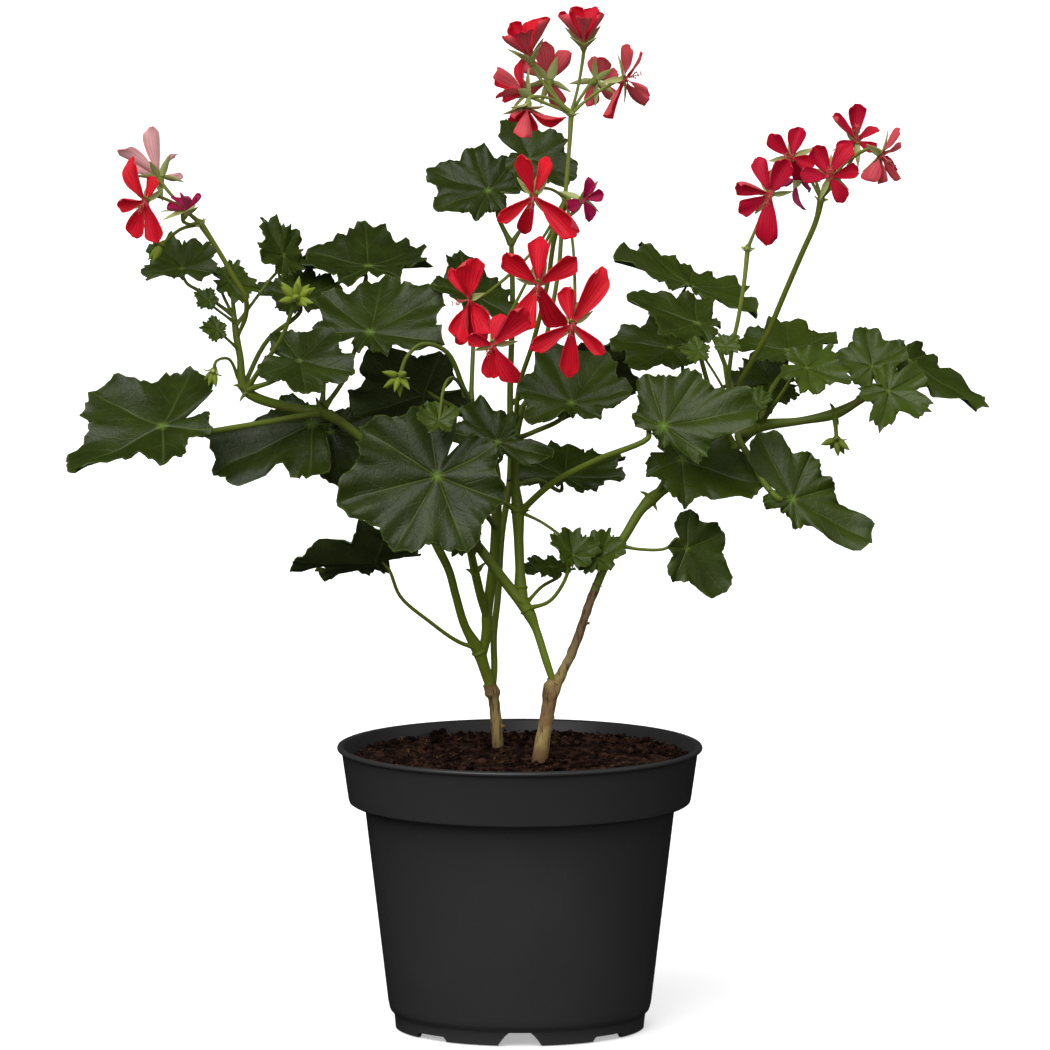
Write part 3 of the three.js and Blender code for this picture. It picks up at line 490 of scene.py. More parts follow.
class Value:
    """A number that varies over a surface; arithmetic on it adds Math nodes."""

    def __init__(self, book: "Book", socket: bpy.types.NodeSocket) -> None:
        """Wrap an output socket of a material's nodes."""
        self.book = book
        self.socket = socket

    def math(self, operation: str, *others: "Value | float") -> "Value":
        """Return a Math node's result on this value and others."""
        node = self.book.node("ShaderNodeMath", {"operation": operation}, dict(enumerate((self, *others))))
        return Value(self.book, node.outputs[0])

    def __add__(self, other: "Value | float") -> "Value":
        """Add."""
        return self.math("ADD", other)

    __radd__ = __add__

    def __mul__(self, other: "Value | float") -> "Value":
        """Multiply."""
        return self.math("MULTIPLY", other)

    __rmul__ = __mul__

    def __sub__(self, other: "Value | float") -> "Value":
        """Subtract."""
        return self.math("SUBTRACT", other)

    def __rsub__(self, other: float) -> "Value":
        """Subtract from a number."""
        return self * -1.0 + other

    def __pow__(self, other: float) -> "Value":
        """Raise to a power."""
        return self.math("POWER", other)

    def __abs__(self) -> "Value":
        """Drop the sign."""
        return self.math("ABSOLUTE")

    def above(self, edge: float, width: float) -> "Value":
        """Rise smoothly from 0 to 1.

        Args:
            edge: The value up to which the result is 0.
            width: How far past the edge it reaches 1.

        Returns:
            The share.
        """
        settings = {"interpolation_type": "SMOOTHSTEP"}
        node = self.book.node("ShaderNodeMapRange", settings, {0: self, 1: edge, 2: edge + width})
        return Value(self.book, node.outputs[0])

    def near(self, width: float) -> "Value":
        """Return 1 where the value is 0, fading to 0 at a width on both sides."""
        return 1.0 - abs(self).above(0.0, width)


class Book:
    """One material and its nodes."""

    def __init__(self, name: str) -> None:
        """Start a material.

        Args:
            name: Its name.
        """
        self.material = bpy.data.materials.new(name)
        self.material.use_nodes = True
        self.tree = self.material.node_tree
        self.shader = self.tree.nodes["Principled BSDF"]

    def node(self, kind: str, settings: dict[str, object],
             inputs: dict[str | int, object]) -> bpy.types.Node:
        """Add a node.

        Args:
            kind: The node's type.
            settings: Its settings, which are set first.
            inputs: Values or links of its sockets, by name or number.

        Returns:
            The node.
        """
        node = self.tree.nodes.new(kind)
        for key, value in settings.items():
            setattr(node, key, value)
        for key, value in inputs.items():
            self.plug(value, node.inputs[key])
        return node

    def plug(self, value: object, socket: bpy.types.NodeSocket) -> None:
        """Link a value to a socket, or set it there.

        Args:
            value: A value, a socket, a number, a vector or a colour.
            socket: The socket that takes it.
        """
        if isinstance(value, Value):
            value = value.socket
        if isinstance(value, bpy.types.NodeSocket):
            self.tree.links.new(value, socket)
        elif isinstance(value, tuple) and len(value) == 3 and socket.type == "RGBA":
            socket.default_value = (*value, 1)
        else:
            socket.default_value = value

    def set(self, **sockets: object) -> None:
        """Set or link the surface shader's sockets, with _ in place of a space."""
        for name, value in sockets.items():
            self.plug(value, self.shader.inputs[name.replace("_", " ")])

    def place(self) -> bpy.types.NodeSocket:
        """Return the object coordinates."""
        return self.node("ShaderNodeTexCoord", {}, {}).outputs["Object"]

    def height(self) -> Value:
        """Return the height above the ground in metres."""
        return Value(self, self.node("ShaderNodeSeparateXYZ", {}, {0: self.place()}).outputs[2])

    def sheet_map(self) -> tuple[Value, Value]:
        """Read the sheet's own map.

        Returns:
            The distances across and along it.
        """
        uv = self.node("ShaderNodeUVMap", {"uv_map": "sheet"}, {}).outputs[0]
        split = self.node("ShaderNodeSeparateXYZ", {}, {0: uv})
        return Value(self, split.outputs[0]), Value(self, split.outputs[1])

    def mark(self, name: str) -> Value:
        """Return a number that is marked on the mesh."""
        node = self.node("ShaderNodeAttribute", {"attribute_name": name}, {})
        return Value(self, node.outputs["Fac"])

    def noise(self, scale: float, detail: float = 2.0, stretch: Place = (1, 1, 1),
              seed: float = 0.0) -> Value:
        """Return a noise between 0 and 1.

        Args:
            scale: Waves per metre.
            detail: Octaves added to it.
            stretch: How much finer it is along x, y and z.
            seed: Moves the pattern.

        Returns:
            The noise.
        """
        turned = {"Vector": self.place(), "Scale": stretch, "Location": (seed,) * 3}
        spot = self.node("ShaderNodeMapping", {}, turned).outputs[0]
        node = self.node("ShaderNodeTexNoise", {}, {"Vector": spot, "Scale": scale, "Detail": detail})
        return Value(self, node.outputs[0])

    def cells(self, scale: float) -> Value:
        """Return a cell pattern's distance from the nearest edge between two cells.

        Args:
            scale: Cells per metre.

        Returns:
            The distance, 0 on an edge.
        """
        settings = {"feature": "DISTANCE_TO_EDGE"}
        node = self.node("ShaderNodeTexVoronoi", settings, {"Vector": self.place(), "Scale": scale})
        return Value(self, node.outputs["Distance"])

    def blend(self, share: Value | float, first: object, second: object) -> bpy.types.NodeSocket:
        """Mix two colours by a share."""
        node = self.node("ShaderNodeMix", {"data_type": "RGBA"}, {0: share, 6: first, 7: second})
        return node.outputs[2]

    def bump(self, height: Value, depth: float, strength: float = 1.0) -> bpy.types.NodeSocket:
        """Return a normal from a height between 0 and 1 that stands for a depth in metres."""
        inputs = {"Strength": strength, "Distance": depth, "Height": height}
        return self.node("ShaderNodeBump", {}, inputs).outputs[0]


@dataclass(frozen=True)
class LeafFinish:
    """A waxy blade with paler veins, a yellow-green hub and a duller underside."""

    dark: Colour = (0.0165, 0.027, 0.0022)
    bright: Colour = (0.054, 0.087, 0.0045)
    vein: Colour = (0.085, 0.125, 0.025)
    hub: Colour = (0.15, 0.24, 0.03)
    under: Colour = (0.036, 0.053, 0.011)
    under_vein: Colour = (0.095, 0.135, 0.038)
    roughness: float = 0.4
    mottle_scale: float = 90
    grain_scale: float = 700
    net_scale: float = 330
    main_width: float = 0.024
    branch_width: float = 0.06
    branch_count: float = 4.2
    relief: float = 0.6

    def material(self) -> bpy.types.Material:
        """Mix the blade's colours, gloss and relief.

        Returns:
            The material.
        """
        book = Book("leaf_blade")
        across, along = book.sheet_map()
        tint, edge, underside = (book.mark(name) for name in ("tint", "edge", "underside"))
        reach = (across * across + along * along) ** 0.5
        mottle = book.noise(self.mottle_scale, 3)
        fine = book.noise(self.grain_scale, 2)
        wander = (book.noise(self.mottle_scale, 2) - 0.5) * 0.16
        # The main veins thin out towards the tips, and their side veins slant outwards from them.
        main = (across + wander * 0.08).near(self.main_width) * (1.0 - along.above(0.15, 0.8) * 0.7)
        slant = (along - abs(across) * 1.1 + wander) * self.branch_count + 0.35
        branches = (slant.math("FRACT") - 0.5).near(self.branch_width) * along.above(0.16, 0.2)
        branches = branches * (1.0 - edge.above(0.6, 0.35)) * 0.3
        net = 1.0 - book.cells(self.net_scale).above(0.0, 0.1)
        veins = main.math("MAXIMUM", branches)
        base = book.blend(tint * 0.85 + (mottle - 0.5) * 0.7, self.dark, self.bright)
        base = book.blend(veins * 0.5 + net * 0.04, base, self.vein)
        base = book.blend((1.0 - reach.above(0.01, 0.085)) * 0.5, base, self.hub)
        base = book.blend(edge.above(0.972, 0.02) * 0.4, base, self.vein)
        back = book.blend(veins * 0.6 + net * 0.12 + (mottle - 0.5) * 0.2, self.under, self.under_vein)
        height = (1.0 - veins) * 0.6 + (1.0 - net) * 0.09 + mottle * 1.1 + fine * 0.1
        book.set(
            Base_Color=book.blend(underside, base, back),
            Roughness=self.roughness + (fine - 0.5) * 0.12 + underside * 0.14,
            Normal=book.bump(height, self.relief * MM, 0.9),
            Specular_IOR_Level=0.26,
        )
        return book.material


@dataclass(frozen=True)
class StemFinish:
    """Juicy green stems, mottled, that shift from a low colour to a high one as they rise; most are darker
    below and paler where they are young.
    """

    name: str
    low: Colour
    high: Colour
    fleck: Colour = (0.10, 0.055, 0.02)
    low_mm: float = 150.0
    high_mm: float = 280.0
    roughness: float = 0.42
    mottle_scale: float = 130
    down_scale: float = 2600
    fleck_scale: float = 60
    relief: float = 0.2

    def material(self) -> bpy.types.Material:
        """Mix the skin's colours, gloss and fine down.

        Returns:
            The material.
        """
        book = Book(self.name)
        rise = book.height().above(self.low_mm * MM, (self.high_mm - self.low_mm) * MM)
        mottle = book.noise(self.mottle_scale, 3)
        down = book.noise(self.down_scale, 2)
        flecks = book.noise(self.fleck_scale, 2, seed=3.0).above(0.56, 0.16)
        base = book.blend(rise + (mottle - 0.5) * 0.7, self.low, self.high)
        book.set(
            Base_Color=book.blend(flecks * 0.4, base, self.fleck),
            Roughness=self.roughness + (mottle - 0.5) * 0.2,
            Normal=book.bump(mottle * 0.6 + down * 0.4, self.relief * MM, 0.6),
            Sheen_Weight=0.05,
            Sheen_Roughness=0.5,
            Specular_IOR_Level=0.2,
        )
        return book.material


@dataclass(frozen=True)
class PetalFinish:
    """A velvety petal with streaks that fan from the throat, and a paler dull back.

    The glow stands for the light that comes through so thin a sheet.
    """

    name: str
    face: Colour
    deep: Colour
    back: Colour
    streak: Colour
    roughness: float = 0.52
    glow: float = 0.08
    mottle_scale: float = 160
    grain_scale: float = 1500
    wander_scale: float = 420
    streaks: float = 3.6
    relief: float = 0.12

    def material(self) -> bpy.types.Material:
        """Mix the petal's colours, streaks and velvet.

        Returns:
            The material.
        """
        book = Book(self.name)
        across, along = book.sheet_map()
        tint, edge, underside = (book.mark(name) for name in ("tint", "edge", "underside"))
        mottle = book.noise(self.mottle_scale, 2)
        grain = book.noise(self.grain_scale, 2)
        wander = (book.noise(self.wander_scale, 1) - 0.5) * 0.35
        fan = (across * (self.streaks - along * 0.8) + wander).math("FRACT") - 0.5
        veins = fan.near(0.15) * along.above(0.02, 0.15) * (1.0 - along.above(0.55, 0.42))
        throat = 1.0 - along.above(0.02, 0.3)
        front = book.blend((mottle - 0.5) * 0.5 + tint * 0.9, self.face, self.deep)
        front = book.blend(veins * 0.75 + throat * 0.3, front, self.streak)
        front = book.blend((1.0 - along.above(0.02, 0.12)) * 0.7, front, self.back)
        dull = book.blend(veins * 0.75 + (mottle - 0.5) * 0.3, self.back, self.deep)
        dull = book.blend(edge.above(0.8, 0.2) * 0.35, dull, self.face)
        base = book.blend(underside, front, dull)
        book.set(
            Base_Color=base,
            Emission_Color=base,
            Emission_Strength=self.glow,
            Roughness=self.roughness + (grain - 0.5) * 0.15,
            Normal=book.bump((1.0 - veins) * 0.6 + grain * 0.4, self.relief * MM, 0.7),
            Specular_IOR_Level=0.12,
        )
        return book.material


@dataclass(frozen=True)
class BarkFinish:
    """Woody skin with fine lengthwise cracks, patches of young olive colour, and a darker brown higher up.
    """

    ridge: Colour = (0.35, 0.26, 0.10)
    crack: Colour = (0.05, 0.02, 0.011)
    young: Colour = (0.21, 0.165, 0.052)
    rusty: Colour = (0.13, 0.052, 0.028)
    upper: Colour = (0.14, 0.085, 0.048)
    roughness: float = 0.78
    fibre_scale: float = 900
    patch_scale: float = 140
    blotch_scale: float = 110
    upper_mm: float = 145.0
    relief: float = 0.5

    def material(self) -> bpy.types.Material:
        """Mix the bark's colours, from its dark foot up, and its cracks.

        Returns:
            The material.
        """
        book = Book("woody_skin")
        height = book.height()
        fibres = book.noise(self.fibre_scale, 4, (1, 1, 0.09))
        patches = book.noise(self.patch_scale, 3)
        cracks = 1.0 - fibres.above(0.36, 0.14)
        blotches = book.noise(self.blotch_scale, 3, (1, 1, 0.5), 9.0).above(0.47, 0.12)
        joint = (height - BASE_JOINT_MM * MM).near(9 * MM)
        foot = 1.0 - height.above(SOIL_LEVEL_MM * MM, 11 * MM)
        base = book.blend(patches + (fibres - 0.5) * 0.8, self.ridge, self.young)
        base = book.blend(height.above(self.upper_mm * MM, 20 * MM) * 0.8, base, self.upper)
        base = book.blend((blotches * 0.6).math("MAXIMUM", joint * 0.35), base, self.rusty)
        base = book.blend((cracks * 0.85).math("MAXIMUM", foot * 0.6), base, self.crack)
        book.set(
            Base_Color=base,
            Roughness=self.roughness + (patches - 0.5) * 0.2,
            Normal=book.bump(fibres * 0.7 + patches * 0.3, self.relief * MM),
            Specular_IOR_Level=0.2,
        )
        return book.material


@dataclass(frozen=True)
class PlasticFinish:
    """Satin black moulded plastic with a faint grain, rubbed patches and dust."""

    base: Colour = (0.029, 0.0285, 0.029)
    dust: Colour = (0.06, 0.058, 0.055)
    roughness: float = 0.4
    cloud_scale: float = 24
    grain_scale: float = 1900
    flow_scale: float = 420
    speck_scale: float = 1100
    relief: float = 0.1

    def material(self) -> bpy.types.Material:
        """Mix the plastic's colour, its dust and its grain.

        Returns:
            The material.
        """
        book = Book("nursery_pot_plastic")
        cloud = book.noise(self.cloud_scale, 4)
        grain = book.noise(self.grain_scale, 2)
        drawn = book.noise(self.flow_scale, 3, (1, 1, 0.06))
        specks = book.noise(self.speck_scale, 1, seed=5.0).above(0.73, 0.04)
        dusty = specks * 0.35 + cloud.above(0.45, 0.3) * 0.1 + drawn.above(0.66, 0.1) * 0.08
        book.set(
            Base_Color=book.blend(dusty, self.base, self.dust),
            Roughness=self.roughness + (cloud - 0.5) * 0.16 + (grain - 0.5) * 0.12,
            Normal=book.bump(grain * 0.5 + drawn * 0.5, self.relief * MM, 0.5),
            Specular_IOR_Level=0.35,
        )
        return book.material


@dataclass(frozen=True)
class PeatFinish:
    """Dark brown peat, painted darker in the hollows of its relief as shade and paler on its clods as
    light.
    """

    name: str
    dark: Colour
    light: Colour
    roughness: float = 0.86
    clod_scale: float = 210
    grain_scale: float = 1300
    relief: float = 1.3

    def material(self) -> bpy.types.Material:
        """Mix the peat's browns and its crumbly relief.

        Returns:
            The material.
        """
        book = Book(self.name)
        clods = book.noise(self.clod_scale, 5)
        grain = book.noise(self.grain_scale, 3)
        # Painted shade and light: the clods' hollows are darker and their tops paler, following the same
        # noise as their relief.
        painted_clod_light = clods.above(0.4, 0.3) * 0.7 + (grain - 0.5) * 0.7
        book.set(
            Base_Color=book.blend(painted_clod_light, self.dark, self.light),
            Roughness=self.roughness + (clods - 0.5) * 0.3,
            Normal=book.bump(clods * 0.5 + grain * 0.5, self.relief * MM),
            Specular_IOR_Level=0.03,
        )
        return book.material


def dress(piece: bpy.types.Object, material: bpy.types.Material, slot: str, *nodes: str) -> None:
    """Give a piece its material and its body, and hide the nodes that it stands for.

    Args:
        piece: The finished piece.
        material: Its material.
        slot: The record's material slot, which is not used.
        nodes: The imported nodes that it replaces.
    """
    piece.data.materials.clear()
    piece.data.materials.append(material)
    if nodes:
        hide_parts(*nodes)
    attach(piece, BODY)
    log.info("%s: %d faces", piece.name, len(piece.data.polygons))


# Pot, soil and woody bases


@dataclass
class NurseryPot:
    """A round moulded pot with a deep band, a rolled lip and a foot ring with drain openings.

    Its measures are in millimetres, and its openings are cut between two distances from the axis.
    """

    segments: int = 160
    drain_width: float = 17.9
    drain_top: float = 8.8
    drain_height: float = 5.4
    notch_height: float = 2.0
    floor: float = 5.4
    cut_from: float = 40.0
    cut_to: float = 56.0
    sharp_angle: float = 28.0

    def outside(self) -> list[Spot]:
        """List the outer wall's points.

        Returns:
            Rows of (radius, height), from the foot up.
        """
        rim = RIM_RADIUS_MM
        return [
            (51.3, 0.0), (51.6, 0.35), (51.7, 5.2), (52.0, 5.9), (53.2, 7.2), (53.6, 8.4), (54.1, 10.7),
            (58.9, 51.0), (63.7, 91.6), (63.95, 92.5), (64.4, 92.85), (69.2, 92.9), (70.0, 93.4),
            (70.35, 94.6), (73.05, 113.4), (73.4, 114.3), (74.4, 114.5), (rim - 0.12, 114.9),
            (rim, 115.5), (rim - 0.25, 116.1), (rim - 0.9, POT_HEIGHT_MM), (rim - 2.0, POT_HEIGHT_MM),
        ]

    def inside(self) -> list[Spot]:
        """List the inner wall's points.

        Returns:
            Rows of (radius, height), from the lip down to the floor's middle.
        """
        rim = RIM_RADIUS_MM
        return [
            (rim - 2.7, 116.0), (rim - 3.1, 115.2), (68.7, 96.0), (68.0, 95.0), (63.2, 92.6),
            (62.4, 91.6), (52.4, 10.0), (51.6, 8.4), (50.6, 7.7), (30.0, 7.6), (6.0, 7.6),
        ]

    def build(self) -> None:
        """Turn the wall, cut its openings and give it its finish."""
        foot = [(6.0, self.floor), (30.0, self.floor), (49.6, self.floor), (49.8, 5.0), (49.5, 0.3)]
        profile = [*foot, (49.8, 0.0), *self.outside(), *self.inside()]
        pot = Bench.turned("nursery_pot", profile, self.segments)
        for turn in (0.0, 90.0, 180.0, 270.0):
            for cutter in (self.drain(turn), self.notch(turn + 45.0)):
                Bench.apply(pot, "BOOLEAN", operation="DIFFERENCE", solver="EXACT", object=cutter)
                Bench.remove(cutter)
        Bench.round_off(pot, self.sharp_angle)
        dress(pot, PlasticFinish().material(), "pot_plastic", "pot")

    def drain(self, turn: float) -> bpy.types.Object:
        """Make the cutter of one drain opening, with its curved sides.

        Args:
            turn: Its bearing in degrees.

        Returns:
            The cutter.
        """
        wide, narrow, high = self.drain_width / 2, self.drain_top / 2, self.drain_height
        sides = [(wide, -1.0), (wide - 0.2, 0.3), (wide - 1.5, 2.2), (narrow + 1.6, 4.0), (narrow, high)]
        return self.cutter(sides + [(-x, z) for x, z in reversed(sides)], turn)

    def notch(self, turn: float) -> bpy.types.Object:
        """Return the cutter of one shallow notch in the foot ring, at a bearing in degrees."""
        sides = [(8.3, -1.0), (8.3, 0.6), (6.9, self.notch_height)]
        return self.cutter(sides + [(-x, z) for x, z in reversed(sides)], turn)

    def cutter(self, outline: list[Spot], turn: float) -> bpy.types.Object:
        """Extrude an outline radially through the foot.

        Args:
            outline: (sideways, height) rows.
            turn: The opening's bearing in degrees.

        Returns:
            The cutter.
        """
        out = Vector((math.cos(math.radians(turn)), math.sin(math.radians(turn)), 0))
        side = Vector((-out.y, out.x, 0))
        Bench.clear()
        bpy.ops.mesh.primitive_circle_add(vertices=len(outline), radius=1.0, fill_type="NGON")
        cutter = Bench.named("drain_cutter")
        for vertex, (x, z) in zip(cutter.data.vertices, outline):
            vertex.co = POT_AXIS + (out * self.cut_from + side * x + Vector((0, 0, z))) * MM
        with Bench.editing():
            through = {"value": out * (self.cut_to - self.cut_from) * MM}
            bpy.ops.mesh.extrude_region_move(TRANSFORM_OT_translate=through)
        return cutter


# A soft rise or dip of the soil: x, y, height and spread in millimetres
HEAPS_MM = ((30, 34, 1.6, 26), (-55, 0, -1.2, 17), (8.2, -18, 1.4, 7), (-9, 20, 1.2, 6))


def soil_height(x: float, y: float) -> float:
    """Work out the soil's height at a place, with its heaps, clods and crumbs.

    Args:
        x: Millimetres to the right of the pot's axis.
        y: Millimetres behind it.

    Returns:
        The height in millimetres.
    """
    heap = sum(
        high * math.exp(-((x - u) ** 2 + (y - v) ** 2) / spread**2) for u, v, high, spread in HEAPS_MM
    )
    spot = Vector((x, y, 0.0))
    clods = noise.fractal(spot * 0.11, 0.7, 2.0, 3) * 1.1
    lumps = abs(noise.noise(spot * 0.36 + Vector((7, 3, 1)))) * 2.4
    crumbs = noise.noise(spot * 0.9) * 0.9
    return SOIL_LEVEL_MM - 0.3 + heap + clods + lumps + crumbs


@dataclass
class PottingSoil:
    """Fibrous peat that fills the pot to just under its lip.

    bases are the woody bases' rows, which the crumbs keep clear of. Measures are in millimetres.
    """

    bases: list[list[Row]]
    edge_height: float = 109.0
    reach: float = 70.0
    edge_width: float = 3.0
    strewn: float = 68.5
    rings: int = 44
    segments: int = 190
    crumbs: int = 2200
    grit: int = 8000
    fibres: int = 420
    rng: random.Random = field(default_factory=lambda: random.Random(41))

    def build(self) -> None:
        """Make the soil's body, its crumbs and its fibres."""
        wall = [(6.0, 9.9), (48.0, 9.9), (51.8, 11.0), (61.9, 91.5), (62.2, 92.6), (67.2, 96.2)]
        soil = Bench.turned("peat_bed", [*wall, (70.1, self.edge_height)], self.segments)
        Bench.pick(soil)
        top = max(soil.data.polygons, key=lambda face: face.center.z)
        for face in soil.data.polygons:
            face.select = face == top
        middle = POT_AXIS + Vector((0, 0, self.edge_height * MM))
        bpy.ops.object.mode_set(mode="EDIT")
        bpy.ops.mesh.select_mode(type="FACE")
        for k in range(self.rings):
            share = (self.rings - k - 1) / (self.rings - k) if k < self.rings - 1 else 0.4
            bpy.ops.mesh.extrude_region_move()
            bpy.ops.transform.resize(value=(share, share, 1), center_override=middle)
        bpy.ops.object.mode_set(mode="OBJECT")
        for vertex in soil.data.vertices:
            if vertex.co.z > (self.edge_height - 0.5) * MM:
                x, y = ((vertex.co - POT_AXIS) / MM).xy
                edge = smooth((self.reach - math.hypot(x, y)) / self.edge_width)
                vertex.co.z = mix(self.edge_height, soil_height(x, y), edge) * MM
        Bench.round_off(soil, 80)
        finish = PeatFinish("peat", (0.006, 0.0026, 0.0017), (0.05, 0.022, 0.013))
        dress(soil, finish.material(), "soil", "soil")
        self.crumble("peat_crumbs", self.crumbs, 2, (0.3, 0.8, 1.5))
        self.crumble("peat_grit", self.grit, 1, (0.3, 0.6, 0.5))
        self.scatter()

    def spot(self) -> Spot:
        """Draw a place on the soil that is clear of the bases.

        Returns:
            Its distances across and back from the pot's axis.
        """
        feet = [(rows[1][0], rows[1][2], rows[1][3] + 0.3) for rows in self.bases]
        while True:
            radius = self.strewn * math.sqrt(self.rng.random())
            turn = self.rng.uniform(0, 2 * math.pi)
            x, y = radius * math.cos(turn), radius * math.sin(turn)
            if all(math.hypot(x - u, y - v) > clear for u, v, clear in feet):
                return x, y

    def crumble(self, name: str, count: int, detail: int, sizes: tuple[float, float, float]) -> None:
        """Strew crumbs over the soil.

        Args:
            name: The piece's name.
            count: How many crumbs it has.
            detail: How finely the ball that each is made from is divided.
            sizes: The least and the usual size, and how much larger a few are.
        """
        draw = self.rng.uniform
        Bench.clear()
        bpy.ops.mesh.primitive_ico_sphere_add(subdivisions=detail, radius=1.0)
        pattern = bpy.context.active_object
        shape = [vertex.co.copy() for vertex in pattern.data.vertices]
        sides = [tuple(face.vertices) for face in pattern.data.polygons]
        Bench.remove(pattern)
        least, usual, more = sizes
        points, faces = [], []
        for _ in range(count):
            x, y = self.spot()
            size = draw(least, usual) + more * self.rng.random() ** 5
            middle = POT_AXIS + Vector((x, y, soil_height(x, y) + size * 0.25)) * MM
            squash = Vector((draw(0.7, 1.3), draw(0.7, 1.3), draw(0.5, 0.9)))
            shift = Vector((draw(0, 90), draw(0, 90), draw(0, 90)))
            first = len(points)
            for corner in shape:
                lump = 1 + 0.75 * noise.noise(corner * 1.7 + shift)
                points.append(middle + corner * squash * (size * lump * MM))
            faces.extend(tuple(first + i for i in side) for side in sides)
        mesh = bpy.data.meshes.new(name)
        mesh.from_pydata(points, [], faces)
        crumbs = Bench.linked(name, mesh)
        Bench.round_off(crumbs, 70)
        finish = PeatFinish(f"{name}_finish", (0.0065, 0.003, 0.002), (0.066, 0.029, 0.018))
        dress(crumbs, finish.material(), "soil")

    def scatter(self) -> None:
        """Strew bent bits of fibre over the soil."""
        draw = self.rng.uniform
        strands = []
        for _ in range(self.fibres):
            x, y = self.spot()
            turn, length = draw(0, math.pi), draw(2.5, 8.0)
            bend = draw(-0.5, 0.5)
            rows = []
            for k in range(4):
                way = turn + bend * k
                x, y = x + math.cos(way) * length / 4, y + math.sin(way) * length / 4
                up = soil_height(x, y) + 0.35 + SIGHT_SLOPE * y
                rows.append((x, up, y, 0.13 + 0.14 * (k in (1, 2))))
            if math.hypot(x, y) < self.strewn - 0.5:
                strands.append(Limb(rows, steps=2))
        fibres = limbs("peat_fibres", strands, 6)
        finish = PeatFinish("fibre", (0.05, 0.026, 0.012), (0.17, 0.10, 0.05))
        dress(fibres, finish.material(), "soil")


# Each base is rooted in the soil and ends in a swollen joint: (across, up, back, radius).
BASE_LEFT: list[Row] = [
    (-8, 116 - ROOTING_DEPTH_MM, 20, 2.4), (-9, 116, 20, 2.5), (-10.7, 134.6, 19, 2.4),
    (-11.3, 138, 19, 3.4), (-12.4, 141.5, 18.5, 2.9),
]
BASE_RIGHT: list[Row] = [
    (6.5, 110 - ROOTING_DEPTH_MM, -18, 3.2), (8.2, 110, -18, 3.4), (10.3, 124, -17, 3.1),
    (12.8, 136.5, -16, 3.0), (15.8, 143.5, -16, 2.5), (20.5, 153, -15, 2.1), (24.6, 163.5, -14, 2.0),
    (28.7, 176, -13, 2.0), (31.6, 183, -12.5, 2.1),
]
# The swollen joint of the right base, from which the green stem springs
COLLAR_RIGHT: list[Row] = [
    (11.5, 132.5, -16.5, 2.5), (12.4, 137, -16, 3.5), (13.0, 141.5, -16, 3.3), (13.2, 143.8, -16, 2.1),
]


@dataclass
class WoodyBase:
    """A cutting's old stem, brown and cracked, with raised scars."""

    name: str
    node: str
    rows: list[Row]
    scars: list[Row] = field(default_factory=list)
    collar: list[Row] = field(default_factory=list)

    def build(self) -> None:
        """Sweep the stem, add its scars and its collar, and roughen its skin."""
        parts = [Limb(rows, steps=16) for rows in (self.rows, self.collar) if rows]
        for x, z, y, radius in self.scars:
            parts.append(Limb([(x - 1.2, z, y, 0.5), (x, z, y, radius), (x + 1.2, z, y, 0.5)], 4))
        piece = limbs(self.name, parts, 24)
        for vertex in piece.data.vertices:
            spot = vertex.co / MM
            grain = noise.noise(Vector((spot.x * 1.3, spot.y * 1.3, spot.z * 0.12))) * 0.22
            knobs = noise.noise(spot * 0.33) * 0.3
            vertex.co += vertex.normal * (grain + knobs - 0.2) * MM
        dress(piece, BarkFinish().material(), "bark", self.node)


# Leaves, buds and shoots


def as_place(point: Vector) -> Place:
    """Turn a point in metres back into a table's place in millimetres."""
    x, y, z = (point - POT_AXIS) / MM
    return x, z + SIGHT_SLOPE * y, y


